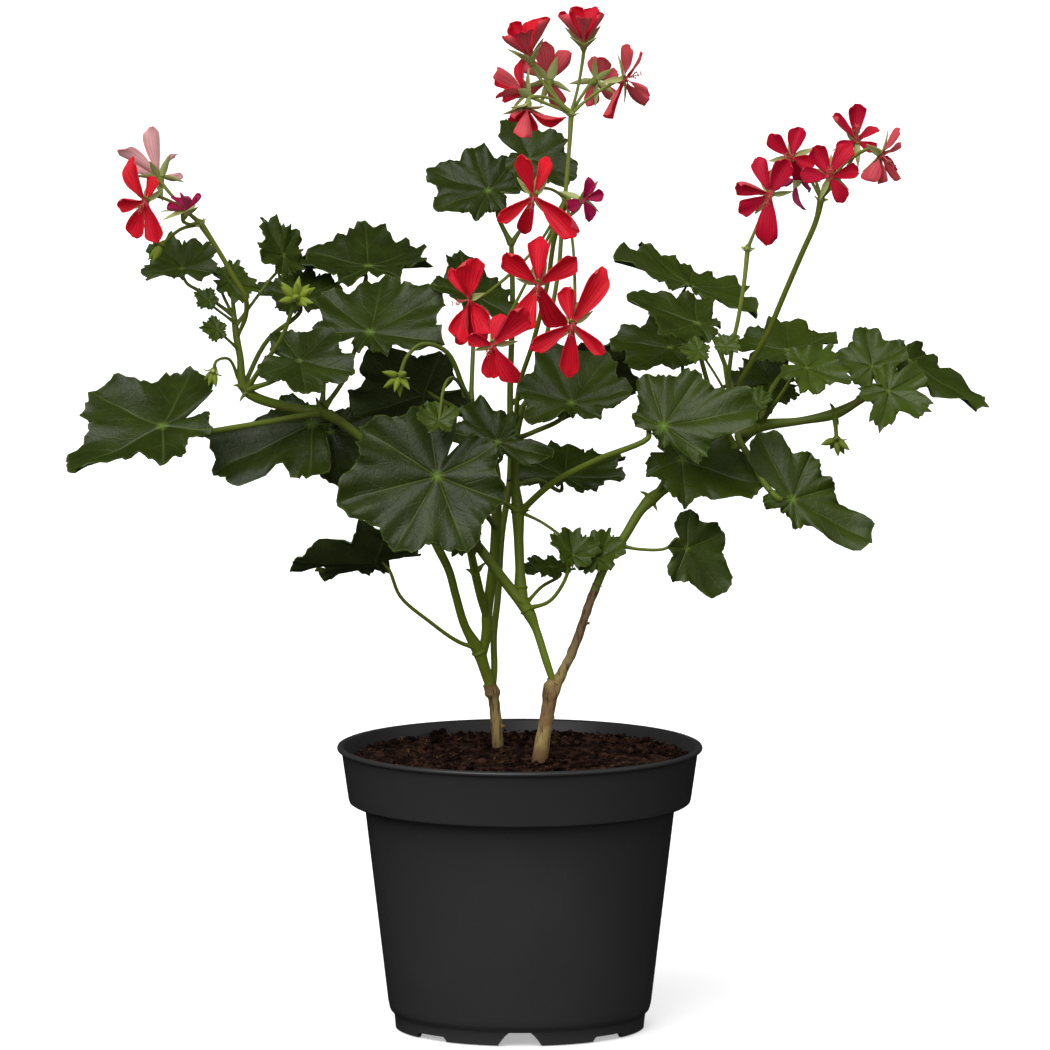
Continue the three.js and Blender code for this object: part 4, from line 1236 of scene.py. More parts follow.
@dataclass(frozen=True)
class Leaf:
    """A lobed blade on its petiole.

    hub is where the petiole meets the blade, tip the angle of the middle lobe as seen from the
    front, face where the upper side looks, and size the reach from hub to tip. reach gives each
    lobe's share of that, cut how deeply the lobes part, and cup, wave and fold how the blade rises.
    """

    hub: Place
    tip: float
    face: Bearing
    size: float
    petiole: list[Place]
    radius: float = 1.1
    reach: tuple[float, ...] = EVEN_LOBES
    cut: float = 0.24
    cup: float = 0.1
    wave: float = 0.06
    fold: float = 0.0
    seed: int = 1

    def axes(self) -> tuple[Vector, Vector, Vector]:
        """Work out how the blade lies.

        Returns:
            Its tip direction, its side and its upward normal.
        """
        normal = direction(self.face)
        depth = math.copysign(max(abs(normal.y), 0.08), normal.y)
        c, s = math.cos(math.radians(self.tip)), math.sin(math.radians(self.tip))
        along = Vector((c, -(c * normal.x + s * normal.z) / depth, s))
        along = (along - normal * along.dot(normal)).normalized()
        return along, normal.cross(along), normal

    def phase(self) -> float:
        """Return the leaf's own phase of its waves, one step of a repeatable draw."""
        state = self.seed * 7919 + math.floor(self.size * 13 + 0.5)
        return 2 * math.pi * ((state * DRAW_FACTOR + DRAW_ADDEND) % DRAW_RANGE) / DRAW_RANGE

    def outline(self) -> list[Spot]:
        """Lay out the lobed edge.

        Returns:
            Rows of (angle from the tip, reach).
        """
        spacing = 2 * SINUS_ANGLE / len(self.reach)
        rows = []
        for k, length in enumerate(self.reach):
            before = (length + self.reach[k - 1]) / 2 if k else length
            shoulder = LOBE_SHOULDER * length
            shares = ((-0.5, (1 - self.cut) * before), (-0.26, shoulder), (0.0, length), (0.26, shoulder))
            rows.extend(((k + 0.5 + offset) * spacing - SINUS_ANGLE, far) for offset, far in shares)
        rows.append((SINUS_ANGLE, (1 - self.cut) * self.reach[-1]))
        return rows

    def add_to(self, blades: Foliage, stencil: Stencil, tint: float) -> None:
        """Shape the blade from the disc pattern: lobes, scallops, pleats and a ruffled edge.

        Args:
            blades: The sheets that it joins.
            stencil: A disc of radius 1.
            tint: The blade's own shade.
        """
        along, side, normal = self.axes()
        centre, phase, rows = at(self.hub), self.phase(), self.outline()
        lobes = len(self.reach)
        spacing = 2 * SINUS_ANGLE / lobes
        # A small leaf is cut and folded more deeply for its size.
        small = self.size < SMALL_LEAF_MM
        scallop, pleat, ruffle = (0.22, 0.17, 0.07) if small else (0.09, 0.12, 0.045)

        def lobe_of(angle: float) -> float:
            """Return how many lobes lie before an angle, with its share of the next."""
            return min(max((angle + SINUS_ANGLE) / spacing, 0.0), lobes - 1e-6)

        def polar(point: Spot) -> tuple[float, float, float]:
            """Bring a pattern point inside the lobed and scalloped edge.

            Args:
                point: Its place in the disc.

            Returns:
                Its angle in degrees, its share of the radius and its reach.
            """
            share = min(math.hypot(*point), 1.0)
            angle = math.degrees(math.atan2(point[1], point[0]))
            rim = between(rows, angle)
            if abs(angle) > SINUS_ANGLE:
                rim = mix(rim, SINUS_REACH, smooth((abs(angle) - SINUS_ANGLE) / (180 - SINUS_ANGLE)))
            lobe = lobe_of(angle)
            off_tip = lobe % 1 - 0.5
            teeth = 0.62 - abs(math.sin(4 * math.pi * off_tip))
            teeth += 0.25 * math.cos(18 * math.pi * off_tip + phase)
            uneven = (0.7 + 0.3 * math.sin(5.1 * lobe + phase)) * (0.8 + 0.35 * math.cos(3 * phase))
            return angle, share, rim * share * (1 + scallop * teeth * uneven * share**6)

        def place(point: Spot) -> Vector:
            """Lift a pattern point on to the cupped, pleated and ruffled blade.

            Args:
                point: Its place in the disc.

            Returns:
                Its place in space.
            """
            angle, share, far = polar(point)
            turn, lobe = math.radians(angle), lobe_of(angle)
            rim = far / share if share else 0.0
            crease = math.sin(abs(lobe % 1 - 0.5) * math.pi)
            bowl = self.cup + self.wave * math.cos(3 * turn + phase)
            rise = rim**2 * bowl * (0.4 * share + 0.6 * share**2)
            rise += self.fold * far * abs(math.sin(turn))
            rise += pleat * far * (crease - 0.6) * (1.15 - 0.5 * share)
            curl = lobe * 4 * math.pi + 2.3 * phase + 3 * math.sin(turn)
            rise += ruffle * share**5 * math.sin(curl)
            rise += 0.3 * ruffle * share**8 * math.sin(lobe * 14 * math.pi + phase)
            spot = Vector((far * math.cos(turn), far * math.sin(turn), phase)) * 3.2
            rise += 0.07 * share * noise.noise(spot)
            across = along * math.cos(turn) + side * math.sin(turn)
            return centre + (across * far + normal * rise) * (self.size * MM)

        def map_of(corner: Spot, middle: Spot) -> Spot:
            """Map a corner by the main vein of its face's lobe.

            Args:
                corner: Its place in the disc.
                middle: The middle of its face.

            Returns:
                Its distances beside the vein and along it.
            """
            lobe = math.floor(lobe_of(math.degrees(math.atan2(middle[1], middle[0]))))
            angle, _, far = polar(corner)
            off = math.radians(angle - ((lobe + 0.5) * spacing - SINUS_ANGLE))
            return far * math.sin(off), far * math.cos(off)

        blades.add(stencil, place, map_of, lambda point: math.hypot(*point), tint)

    def stalk(self) -> Limb:
        """Bring the petiole up from under the blade to its end behind the hub.

        Returns:
            The petiole.
        """
        along, side, normal = self.axes()
        end = at(self.hub) + (along * -0.07 * self.size + side * 0.04 * self.size + normal * 0.1) * MM
        drop = min(5.0, self.size * 0.25) * MM
        under = end - normal * (0.8 * drop) - along * (0.6 * drop)
        route = [*self.petiole, as_place(under)]
        radius = self.radius * PETIOLE_SHARE
        rows = [(*place, radius * (1.1 - 0.06 * i)) for i, place in enumerate(route)]
        return Limb([*rows, (*as_place(end), 0.5 * radius)], 6, flare=0.6)


# Shares of a bud's length and half width, and of a lance's
BUD_SHAPE = [(0.0, 0.42), (0.1, 0.78), (0.3, 1.0), (0.55, 0.86), (0.78, 0.5), (0.93, 0.2), (1.0, 0.06)]
LANCE_SHAPE = [(0.0, 0.62), (0.25, 1.0), (0.6, 0.72), (0.88, 0.26), (1.0, 0.05)]


@dataclass(frozen=True)
class BudCluster:
    """Pointed buds round the end of a short stalk, with measures in millimetres."""

    centre: Place
    pointing: Bearing
    count: int
    stalk: list[Row]
    length: float = 8.0
    width: float = 3.6
    spread: float = 62.0

    def buds(self) -> list[Limb]:
        """Spread the buds round the cluster's axis, one golden turn after another.

        Returns:
            The buds.
        """
        axis, middle = direction(self.pointing), at(self.centre)
        across = Vector((0.3, 1, 0.2)).cross(axis).normalized()
        parts = []
        for k in range(self.count):
            tilt = math.radians(self.spread * (0.7 + 0.45 * (k % 2)) if k else 0.0)
            way = turned_round(turned_round(axis, across, tilt), axis, k * GOLDEN_TURN)
            foot = middle + way * 0.9 * MM
            length = self.length * (1.0 if k % 3 else 0.93)
            rows = []
            for share, wide in BUD_SHAPE:
                rows.append((*as_place(foot + way * (share * length * MM)), self.width / 2 * wide))
            parts.append(Limb(rows, 2))
        return parts

    def stem(self) -> list[Limb]:
        """Make the cluster's stalk and the knob at its end.

        Returns:
            The stalk and the knob.
        """
        axis, middle = direction(self.pointing), at(self.centre)
        rows = [*self.stalk, (*self.centre, 0.85)]
        low, high = as_place(middle - axis * 1.9 * MM), as_place(middle + axis * 1.6 * MM)
        knob = [(*low, 0.7), (*self.centre, KNOB_MM * 0.85), (*high, 0.7)]
        return [Limb(rows, 6, flare=0.4), Limb(knob, 4)]

    def bracts(self) -> list[tuple[Vector, Vector, Vector, float]]:
        """Lay the small pointed bracts round the knob.

        Returns:
            Their rows of (foot, tip, axis, width).
        """
        axis, middle = direction(self.pointing), at(self.centre)
        level = SLANT.cross(axis).normalized()
        rows = []
        for k in range(5):
            out = turned_round(level, axis, k * math.tau / 5 + 0.4)
            foot = middle + (out * 1.3 - axis * 0.6) * MM
            rows.append((foot, foot + (out * 3.2 + axis * 1.2) * MM, axis, 0.9))
        return rows


def turned_round(vector: Vector, axis: Vector, angle: float) -> Vector:
    """Return a vector turned round a unit axis by an angle in radians."""
    lift = axis * (axis.dot(vector) * (1 - math.cos(angle)))
    return vector * math.cos(angle) + axis.cross(vector) * math.sin(angle) + lift


def add_lance(sheets: Foliage, stencil: Stencil, foot: Vector, tip: Vector, axis: Vector, width: float,
              bow: float = 0.7) -> None:
    """Add a narrow pointed sheet, such as a sepal or a bract.

    Args:
        sheets: The sheets that it joins.
        stencil: A strip.
        foot: Its foot in metres.
        tip: Its tip in metres.
        axis: Which way its upper side looks.
        width: Half its greatest width in millimetres.
        bow: How far it bows towards its upper side, in millimetres.
    """
    run = tip - foot
    side = axis.cross(run).normalized()
    normal = run.cross(side).normalized()

    def place(point: Spot) -> Vector:
        """Carry a pattern point on to the bowed sheet.

        Args:
            point: Its place along and across the strip.

        Returns:
            Its place in space.
        """
        s, y = point
        half = between(LANCE_SHAPE, s) * width
        rise = bow * 4 * s * (1 - s) + 0.35 * y * y * half
        return foot + run * s + (side * (y * half) + normal * rise) * MM

    sheets.add(stencil, place, lambda corner, _: (corner[1], corner[0]), lambda point: abs(point[1]), 0.5)


@dataclass(frozen=True)
class Shoot:
    """A leafy shoot: stems of (across, up, back, radius), leaves, bud clusters and stipules."""

    stems: list[list[Row]]
    leaves: list[Leaf]
    buds: list[BudCluster] = field(default_factory=list)
    stipules: list[tuple[Place, float]] = field(default_factory=list)

    @staticmethod
    def thorn(place: Place, turn: float) -> Limb:
        """Make a stipule, a short hooked thorn beside a joint.

        Args:
            place: Its foot.
            turn: The bearing that it points to, in degrees.

        Returns:
            The thorn.
        """
        way = direction((turn, 20)) * 5
        across, up, back = place
        tip = (across + way.x, up + way.z, back + way.y)
        waist = [mix(a, b, 0.55) for a, b in zip(place, tip)]
        waist[1] += 0.45
        return Limb([(*place, 1.25), (*waist, 0.62), (*tip, 0.1)], 4)

    def joints(self) -> list[Limb]:
        """Put a thin raised ring at each swollen joint of the stems.

        Returns:
            The rings.
        """
        rings = []
        for stem in self.stems:
            for before, row, after in zip(stem, stem[1:], stem[2:]):
                place, radius = row[:3], row[3]
                if radius > max(before[3], after[3]) + 0.25:
                    way = (at(after[:3]) - at(before[:3])).normalized()
                    low, high = (as_place(at(place) + way * step * MM) for step in (-0.9, 0.9))
                    edge = radius * 0.9
                    rings.append(Limb([(*low, edge), (*place, radius * 1.1), (*high, edge)], 4))
        return rings

    def build(self, name: str, house: "Plant") -> None:
        """Make the shoot's stems, blades and buds.

        Args:
            name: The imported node's name.
            house: The plant, which holds the patterns and finishes.
        """
        stems = [Limb([(*row[:3], row[3] * STEM_SHARE) for row in rows], 8) for rows in self.stems]
        stems.extend(leaf.stalk() for leaf in self.leaves)
        stems.extend(self.thorn(place, turn) for place, turn in self.stipules)
        stems.extend(self.joints())
        for cluster in self.buds:
            stems.extend(cluster.stem())
        dress(limbs(f"{name}_stems", stems), house.stem, "stalk")
        blades = Foliage()
        for leaf in self.leaves:
            stencil = house.small_disc if leaf.size < SMALL_LEAF_MM else house.large_disc
            leaf.add_to(blades, stencil, house.shade_of(leaf))
        dress(blades.build(f"{name}_leaves", LEAF_THICKNESS_MM), house.leaf, "leaf", name)
        if self.buds:
            buds = [bud for cluster in self.buds for bud in cluster.buds()]
            dress(limbs(f"{name}_buds", buds, 10), house.bud, "stalk")
            bracts = Foliage()
            for cluster in self.buds:
                for foot, tip, axis, width in cluster.bracts():
                    add_lance(bracts, house.lance, foot, tip, axis, width)
            dress(bracts.build(f"{name}_bracts", SEPAL_THICKNESS_MM), house.sepal, "stalk")


SHOOTS: dict[str, Shoot] = {
    "shoot_left": Shoot(
        stems=[
            [(-11.6, 139, 19, 2.3), (-14.8, 149, 18, 2.6), (-16.8, 155, 17, 3), (-22.5, 165.5, 13, 2),
             (-26.2, 178, 9, 1.9), (-29, 188.5, 6, 1.9), (-33, 197, 4, 2), (-41, 212, 4, 1.9),
             (-54, 232, 6, 1.8), (-69, 247, 8, 1.9), (-82, 254.5, 6, 2.6), (-91, 255.5, 6, 2.1),
             (-112, 263, 4, 2.3), (-114.4, 277, 4, 1.6), (-116, 286, 5, 1.6), (-117.5, 301, 7, 0.9)],
        ],
        leaves=[
            Leaf((-146, 248, -8), 204, (105, 28), 43, [(-82, 254, 5), (-115, 248, -2), (-134, 245.5, -8)],
                 radius=1.35, reach=(0.85, 0.9, 1, 0.62, 0.5), cut=0.28, wave=0.1, seed=3),
            Leaf((-90, 275, -8), -12, (85, 38), 22, [(-111, 263.5, 3), (-99, 268, -3)],
                 reach=(0.85, 0.95, 1.05, 1, 0.8), seed=5),
            Leaf((-61.5, 287, 14), 22, (95, 33), 35, [(-80, 256, 6), (-72, 268, 16)],
                 reach=(0.35, 0.45, 0.9, 1, 0.95, 0.9, 0.65), cut=0.18, seed=7),
            Leaf((-62.5, 315, 56), 100, (92, 14), 35, [(-81, 257, 7), (-78, 282, 46)],
                 reach=(0.6, 0.72, 0.85, 1, 0.95, 0.95, 0.6), cut=0.2, wave=0.1, seed=9),
            Leaf((-90, 302, 44), 100, (90, 30), 20, [(-113, 265, 4), (-103, 285, 34)]),
            Leaf((-138, 313, 2), 140, (95, 32), 20, [(-117, 294, 6), (-131, 304, 3)], radius=0.8,
                 reach=(0.75, 0.9, 1.05, 0.8, 0.3)),
            Leaf((-119, 308, 9), -15, (60, 35), 13, [(-116.5, 292, 5)], radius=0.7),
            Leaf((-97, 319, 20), 118, (30, 35), 17, [(-116, 290, 5), (-103, 308, 16)], radius=0.7),
            Leaf((-85, 249.5, 14), 205, (110, 45), 44, [(-82, 254, 7)], reach=(0.2, 0.45, 1, 0.65, 0.2),
                 cut=0.33, wave=0.1, seed=13),
            Leaf((-78, 246, 40), 285, (90, 45), 28, [(-79, 253, 7.5), (-75, 252, 28)],
                 reach=(0.5, 0.85, 1, 1, 0.5), seed=15),
            Leaf((-59.5, 192, 0), 172, (100, -26), 38,
                 [(-17.5, 156.5, 16), (-25, 159, 12), (-37, 167.5, 6), (-49, 178, 2)], radius=0.95,
                 reach=(0.35, 0.7, 1, 0.9, 0.5), cut=0.35, wave=0.12, seed=17),
            Leaf((-127, 300, -4), 150, (70, 50), 6.5, [(-116.5, 291, 5)], radius=0.6),
            Leaf((-123.5, 288, -6), 170, (60, 50), 7, [(-115, 280, 4)], radius=0.6),
        ],
        buds=[
            BudCluster((-91.4, 300.5, -14), (85, 35), 12,
                 [(-112, 263, 4, 1.2), (-106, 272, -2, 1), (-97, 285, -9, 0.9)], length=8.5),
            BudCluster((-125, 271, -4), (250, 10), 3,
                 [(-115, 268, 4, 0.7), (-119, 276, 0, 0.6), (-124, 275, -4, 0.6)], length=6, width=2.6,
                 spread=40),
        ],
        stipules=[((-114, 264, 4), 100), ((-113, 264, 3), 165), ((-112, 262, 3), 235),
         ((-82, 256, 5), 110)],
    ),
    "shoot_middle": Shoot(
        stems=[
            [(-15.6, 152.5, 17.6, 2), (-13.6, 163, 16.5, 2.4), (-13.5, 170, 16, 2.4), (-12, 182, 16, 2.3),
             (-10.4, 194.5, 16, 2.4), (-9.6, 211, 16, 2.3), (-9.6, 228, 16, 2), (-14, 246, 14, 1.6),
             (-22, 262, 10, 1.2)],
            [(-13.5, 169, 16, 1.8), (-16, 178, 11, 2), (-18, 186.5, 7, 2), (-20, 196, 4, 1.8),
             (-22, 208, 0, 1.1)],
        ],
        leaves=[
            Leaf((-33.5, 227.5, -42), 240, (95, 66), 42,
                 [(-9.8, 207, 16), (-16, 214, -4), (-27, 223, -28)], radius=1.4,
                 reach=(0.76, 0.88, 1, 0.87, 0.82, 0.71, 0.64), cut=0.16, cup=0.08, seed=21),
            Leaf((-22.5, 203, -20), 235, (60, 45), 11, [(-18.3, 188, 6)], radius=0.7),
            Leaf((-33, 250, -45), 100, (85, 50), 10, [(-19, 256, 11), (-27, 268, -20), (-31, 263, -40)],
                 radius=0.8, wave=0.2, seed=4),
            Leaf((-18, 302, 28), 120, (70, 28), 24, [(-20, 259, 11), (-19, 285, 24)], radius=1,
                 reach=(0.8, 0.7, 1, 0.8, 0.5), seed=23),
        ],
        buds=[
            BudCluster((-49, 269, -6), (250, 40), 7,
                 [(-22, 261, 10, 1.1), (-30, 279, 2, 1), (-40, 282, -3, 0.9), (-46, 277, -5, 0.8)],
                 width=3),
        ],
        stipules=[((-18.5, 187, 6), 150), ((-17, 189, 6), 40)],
    ),
    "shoot_back": Shoot(
        stems=[
            [(-11, 139, 19.5, 1.3), (-10.5, 148, 26, 1.5), (-10.7, 161.5, 29, 1.5), (-9, 178, 32, 1.5),
             (-7.5, 203, 37, 1.5), (-4, 228, 40, 1.5), (-4, 262, 44, 1.4), (-3, 300, 46, 1.2),
             (-3.5, 325, 44, 1.1)],
        ],
        leaves=[
            Leaf((-13, 346, 42), 165, (98, 42), 28, [(-3.5, 324, 44), (-9, 336, 45)],
                 reach=(0.6, 0.7, 0.85, 1, 0.85, 0.55, 0.45), cut=0.2, seed=31),
            Leaf((4, 359, 40), -20, (90, 50), 21, [(-3.5, 324, 44), (5, 340, 47)], radius=0.9,
                 reach=(0.5, 0.8, 1, 0.85, 1), seed=33),
            Leaf((-40, 262, 68), 200, (80, -55), 34, [(-6, 238, 41), (-20, 252, 56)], radius=1, seed=35),
            Leaf((25, 270, 75), -28, (100, -50), 29, [(-4, 258, 44), (11, 266, 62)], radius=1, seed=37),
        ],
    ),
    "shoot_low": Shoot(
        stems=[
            [(13.9, 142, -16, 1.6), (10.3, 153, -15, 1.8), (7, 163.5, -13, 1.8), (3, 172.5, -12, 3),
             (-6, 184, -10, 2.4), (-12.3, 192.5, -9, 2.3), (-18.5, 200.5, -8, 2.2), (-24, 206, -8, 2),
             (-31, 216, -6, 1.8), (-40, 232, -3, 1.5)],
            [(1.6, 174, -12, 2.4), (0.4, 181.5, -10, 2.8), (0, 190.5, -8, 2.1), (-0.4, 200.5, -6, 2.2),
             (-0.8, 213, -4, 2.8), (-2, 227.5, 0, 1.8), (-1.6, 244, 3, 1.8), (1, 257, 5, 1.8)],
        ],
        leaves=[
            Leaf((58.5, 248, -34), 10, (95, 58), 40,
                 [(-0.8, 212, -4), (13, 224.5, -14), (32, 234.5, -26), (52, 243, -34)], radius=1.5,
                 reach=(0.15, 0.25, 0.55, 1, 0.7, 0.6, 0.35), cut=0.18, seed=41),
            Leaf((-9, 241.5, -18), 130, (92, 40), 26, [(-0.8, 213, -5), (-8, 219, -8), (-10, 232, -13)],
                 reach=(0.95, 0.35, 0.65, 0.95, 0.85, 0.45, 0.35), seed=43),
            Leaf((21, 257.5, -22), 50, (92, 42), 30, [(-1.6, 243, 3), (6, 246, -8)], radius=1.2,
                 reach=(0.25, 0.5, 0.85, 1, 1, 0.8, 0.7), cut=0.18, seed=45),
            Leaf((18.5, 227.5, 34), 82, (90, 16), 31, [(-1.6, 224, 0), (8, 226, 18)], radius=1,
                 reach=(0.6, 0.8, 0.95, 1, 0.95, 0.75, 0.5), cut=0.18, seed=47),
            Leaf((21.5, 195, -22), 100, (60, 40), 13, [(3, 173, -13), (12, 176, -18), (18, 184, -21)],
                 radius=0.9, fold=0.3),
            Leaf((32, 193.5, -18), 80, (110, 45), 14, [(0, 213, -4), (10, 208, -10), (24, 197, -17)],
                 radius=0.7, fold=0.2),
            Leaf((13, 190, 6), 185, (90, 14), 17, [(2.5, 175, -10), (9, 182, -2)], radius=0.8,
                 reach=(0.6, 0.7, 0.8, 0.7, 0.6)),
        ],
        stipules=[((-1, 214, -4), 160), ((0, 212, -4), 20), ((3, 174, -13), 150)],
    ),
    "shoot_right": Shoot(
        stems=[
            [(30.6, 180.5, -12.8, 2), (34.9, 190.5, -12, 2), (43, 203, -10, 2.1), (49, 213, -8, 2.2),
             (53.5, 218, -6, 2.9), (59.5, 222.5, -4, 2.2), (67.5, 227.5, 0, 2), (75, 229, 3, 2),
             (85, 236, 6, 2), (92.5, 244, 8, 2.1), (97.5, 248, 8, 2.8), (115, 250.5, 6, 1.8),
             (129, 253.5, 4, 2.5), (138.5, 258.5, 2, 1.7), (142.5, 261, 0, 1.4)],
        ],
        leaves=[
            Leaf((68, 198, -20), 308, (20, 60), 24, [(41, 199, -10), (49, 197.5, -12), (60, 198, -17)],
                 radius=0.75, reach=(0.35, 0.62, 1, 0.78, 0.65), seed=51),
            Leaf((66, 234, -14), -20, (75, 48), 35, [(56, 220, -5), (60, 229, -10)],
                 reach=(0.45, 0.6, 1, 0.7, 0.4), cut=0.18, seed=53),
            Leaf((111, 218, -26), 330, (60, 60), 36,
                 [(93, 245.5, 6), (89, 244, -8), (95, 233.5, -20), (100.5, 223.5, -26), (106, 218, -28)],
                 radius=1.6, reach=(0.35, 0.2, 0.35, 1, 0.55, 0.6, 0.85), cut=0.2, seed=55),
            Leaf((70, 307, 54), 70, (68, 9), 34, [(91, 246, 8), (84, 275, 36), (74, 296, 52)],
                 reach=(0.5, 0.9, 0.85, 0.85, 0.9, 1, 0.5), cut=0.2, seed=59),
            Leaf((72.5, 290.5, 4), 160, (75, 20), 31, [(88, 239.5, 7), (77, 266, 6), (73.5, 284, 4)],
                 reach=(0.35, 0.7, 1, 0.75, 0.4), seed=61),
            Leaf((62, 281, 48), 175, (95, 25), 26, [(86, 237.5, 6), (68, 262, 36)], radius=0.9),
            Leaf((110.5, 280, 40), 92, (92, 18), 27, [(98, 249, 8), (103, 263, 28)],
                 reach=(0.55, 0.8, 1, 0.85, 0.6), seed=63),
            Leaf((144, 273, 4), 100, (90, 52), 18, [(138, 258.5, 2)], radius=0.9, seed=65),
            Leaf((159, 276, 20), 322, (52, 18), 36, [(141, 260, 0.6), (151, 268, 14)], radius=1,
                 reach=(0.3, 0.55, 1, 0.55, 0.3), seed=67),
            Leaf((150.5, 262.5, -12), -28, (92, 52), 19, [(142, 260.5, 0)], radius=0.9, cut=0.42,
                 seed=69),
            Leaf((117, 272, -10), -15, (80, 35), 18, [(98.5, 249, 7), (108, 263, -3)], radius=0.9),
            Leaf((104, 266, 62), 182, (90, 40), 20, [(98, 249, 9), (99, 256, 42)], radius=0.9),
            Leaf((73, 279, -12), 170, (80, 45), 8, [(90, 242, 7.5), (84, 262, -6)], radius=0.6),
            Leaf((84, 281, -14), 40, (100, 45), 7, [(90, 242, 7.5), (85, 262, -9)], radius=0.6),
            Leaf((97.5, 258, -2), 90, (120, 60), 7, [(97.5, 250, 7)], radius=0.6),
        ],
        buds=[
            BudCluster((129.5, 243, -4), (275, 20), 5, [(129, 252, 3, 0.9)], length=7, width=3),
        ],
        stipules=[((53, 219, -6), 150), ((54, 217, -6), -60), ((55, 219, -6), 60), ((129, 254, 4), 120),
         ((129, 253, 3), -70)],
    ),
}


# Flowers


def turn_between(start: float, end: float) -> float:
    """Return the turn from one bearing on to the next, in (0, 2 pi]."""
    return (end - start) % math.tau or math.tau


def half_room(radius: float, turn: float) -> float:
    """Return how far a petal may reach sideways before it meets its neighbour, in millimetres."""
    reach = radius * math.tan(turn / 2) - PETAL_MARGIN_MM
    return max(reach, PETAL_MARGIN_MM) if turn < FULL_ROOM_TURN else math.inf


@dataclass(frozen=True)
class Petal:
    """One petal of a bloom, with its bearing round the axis and the turns to its neighbours."""

    along: Vector
    length: float
    bearing: float
    width: float = 1.0
    roll: float = 0.0
    before: float = 0.0
    after: float = 0.0


# A petal's half width along its length, as shares of its full width and length
PETAL_SHAPE = [
    (0.0, 0.09), (0.15, 0.15), (0.42, 0.35), (0.68, 0.46), (0.85, 0.46), (0.95, 0.38), (1.0, 0.26),
]


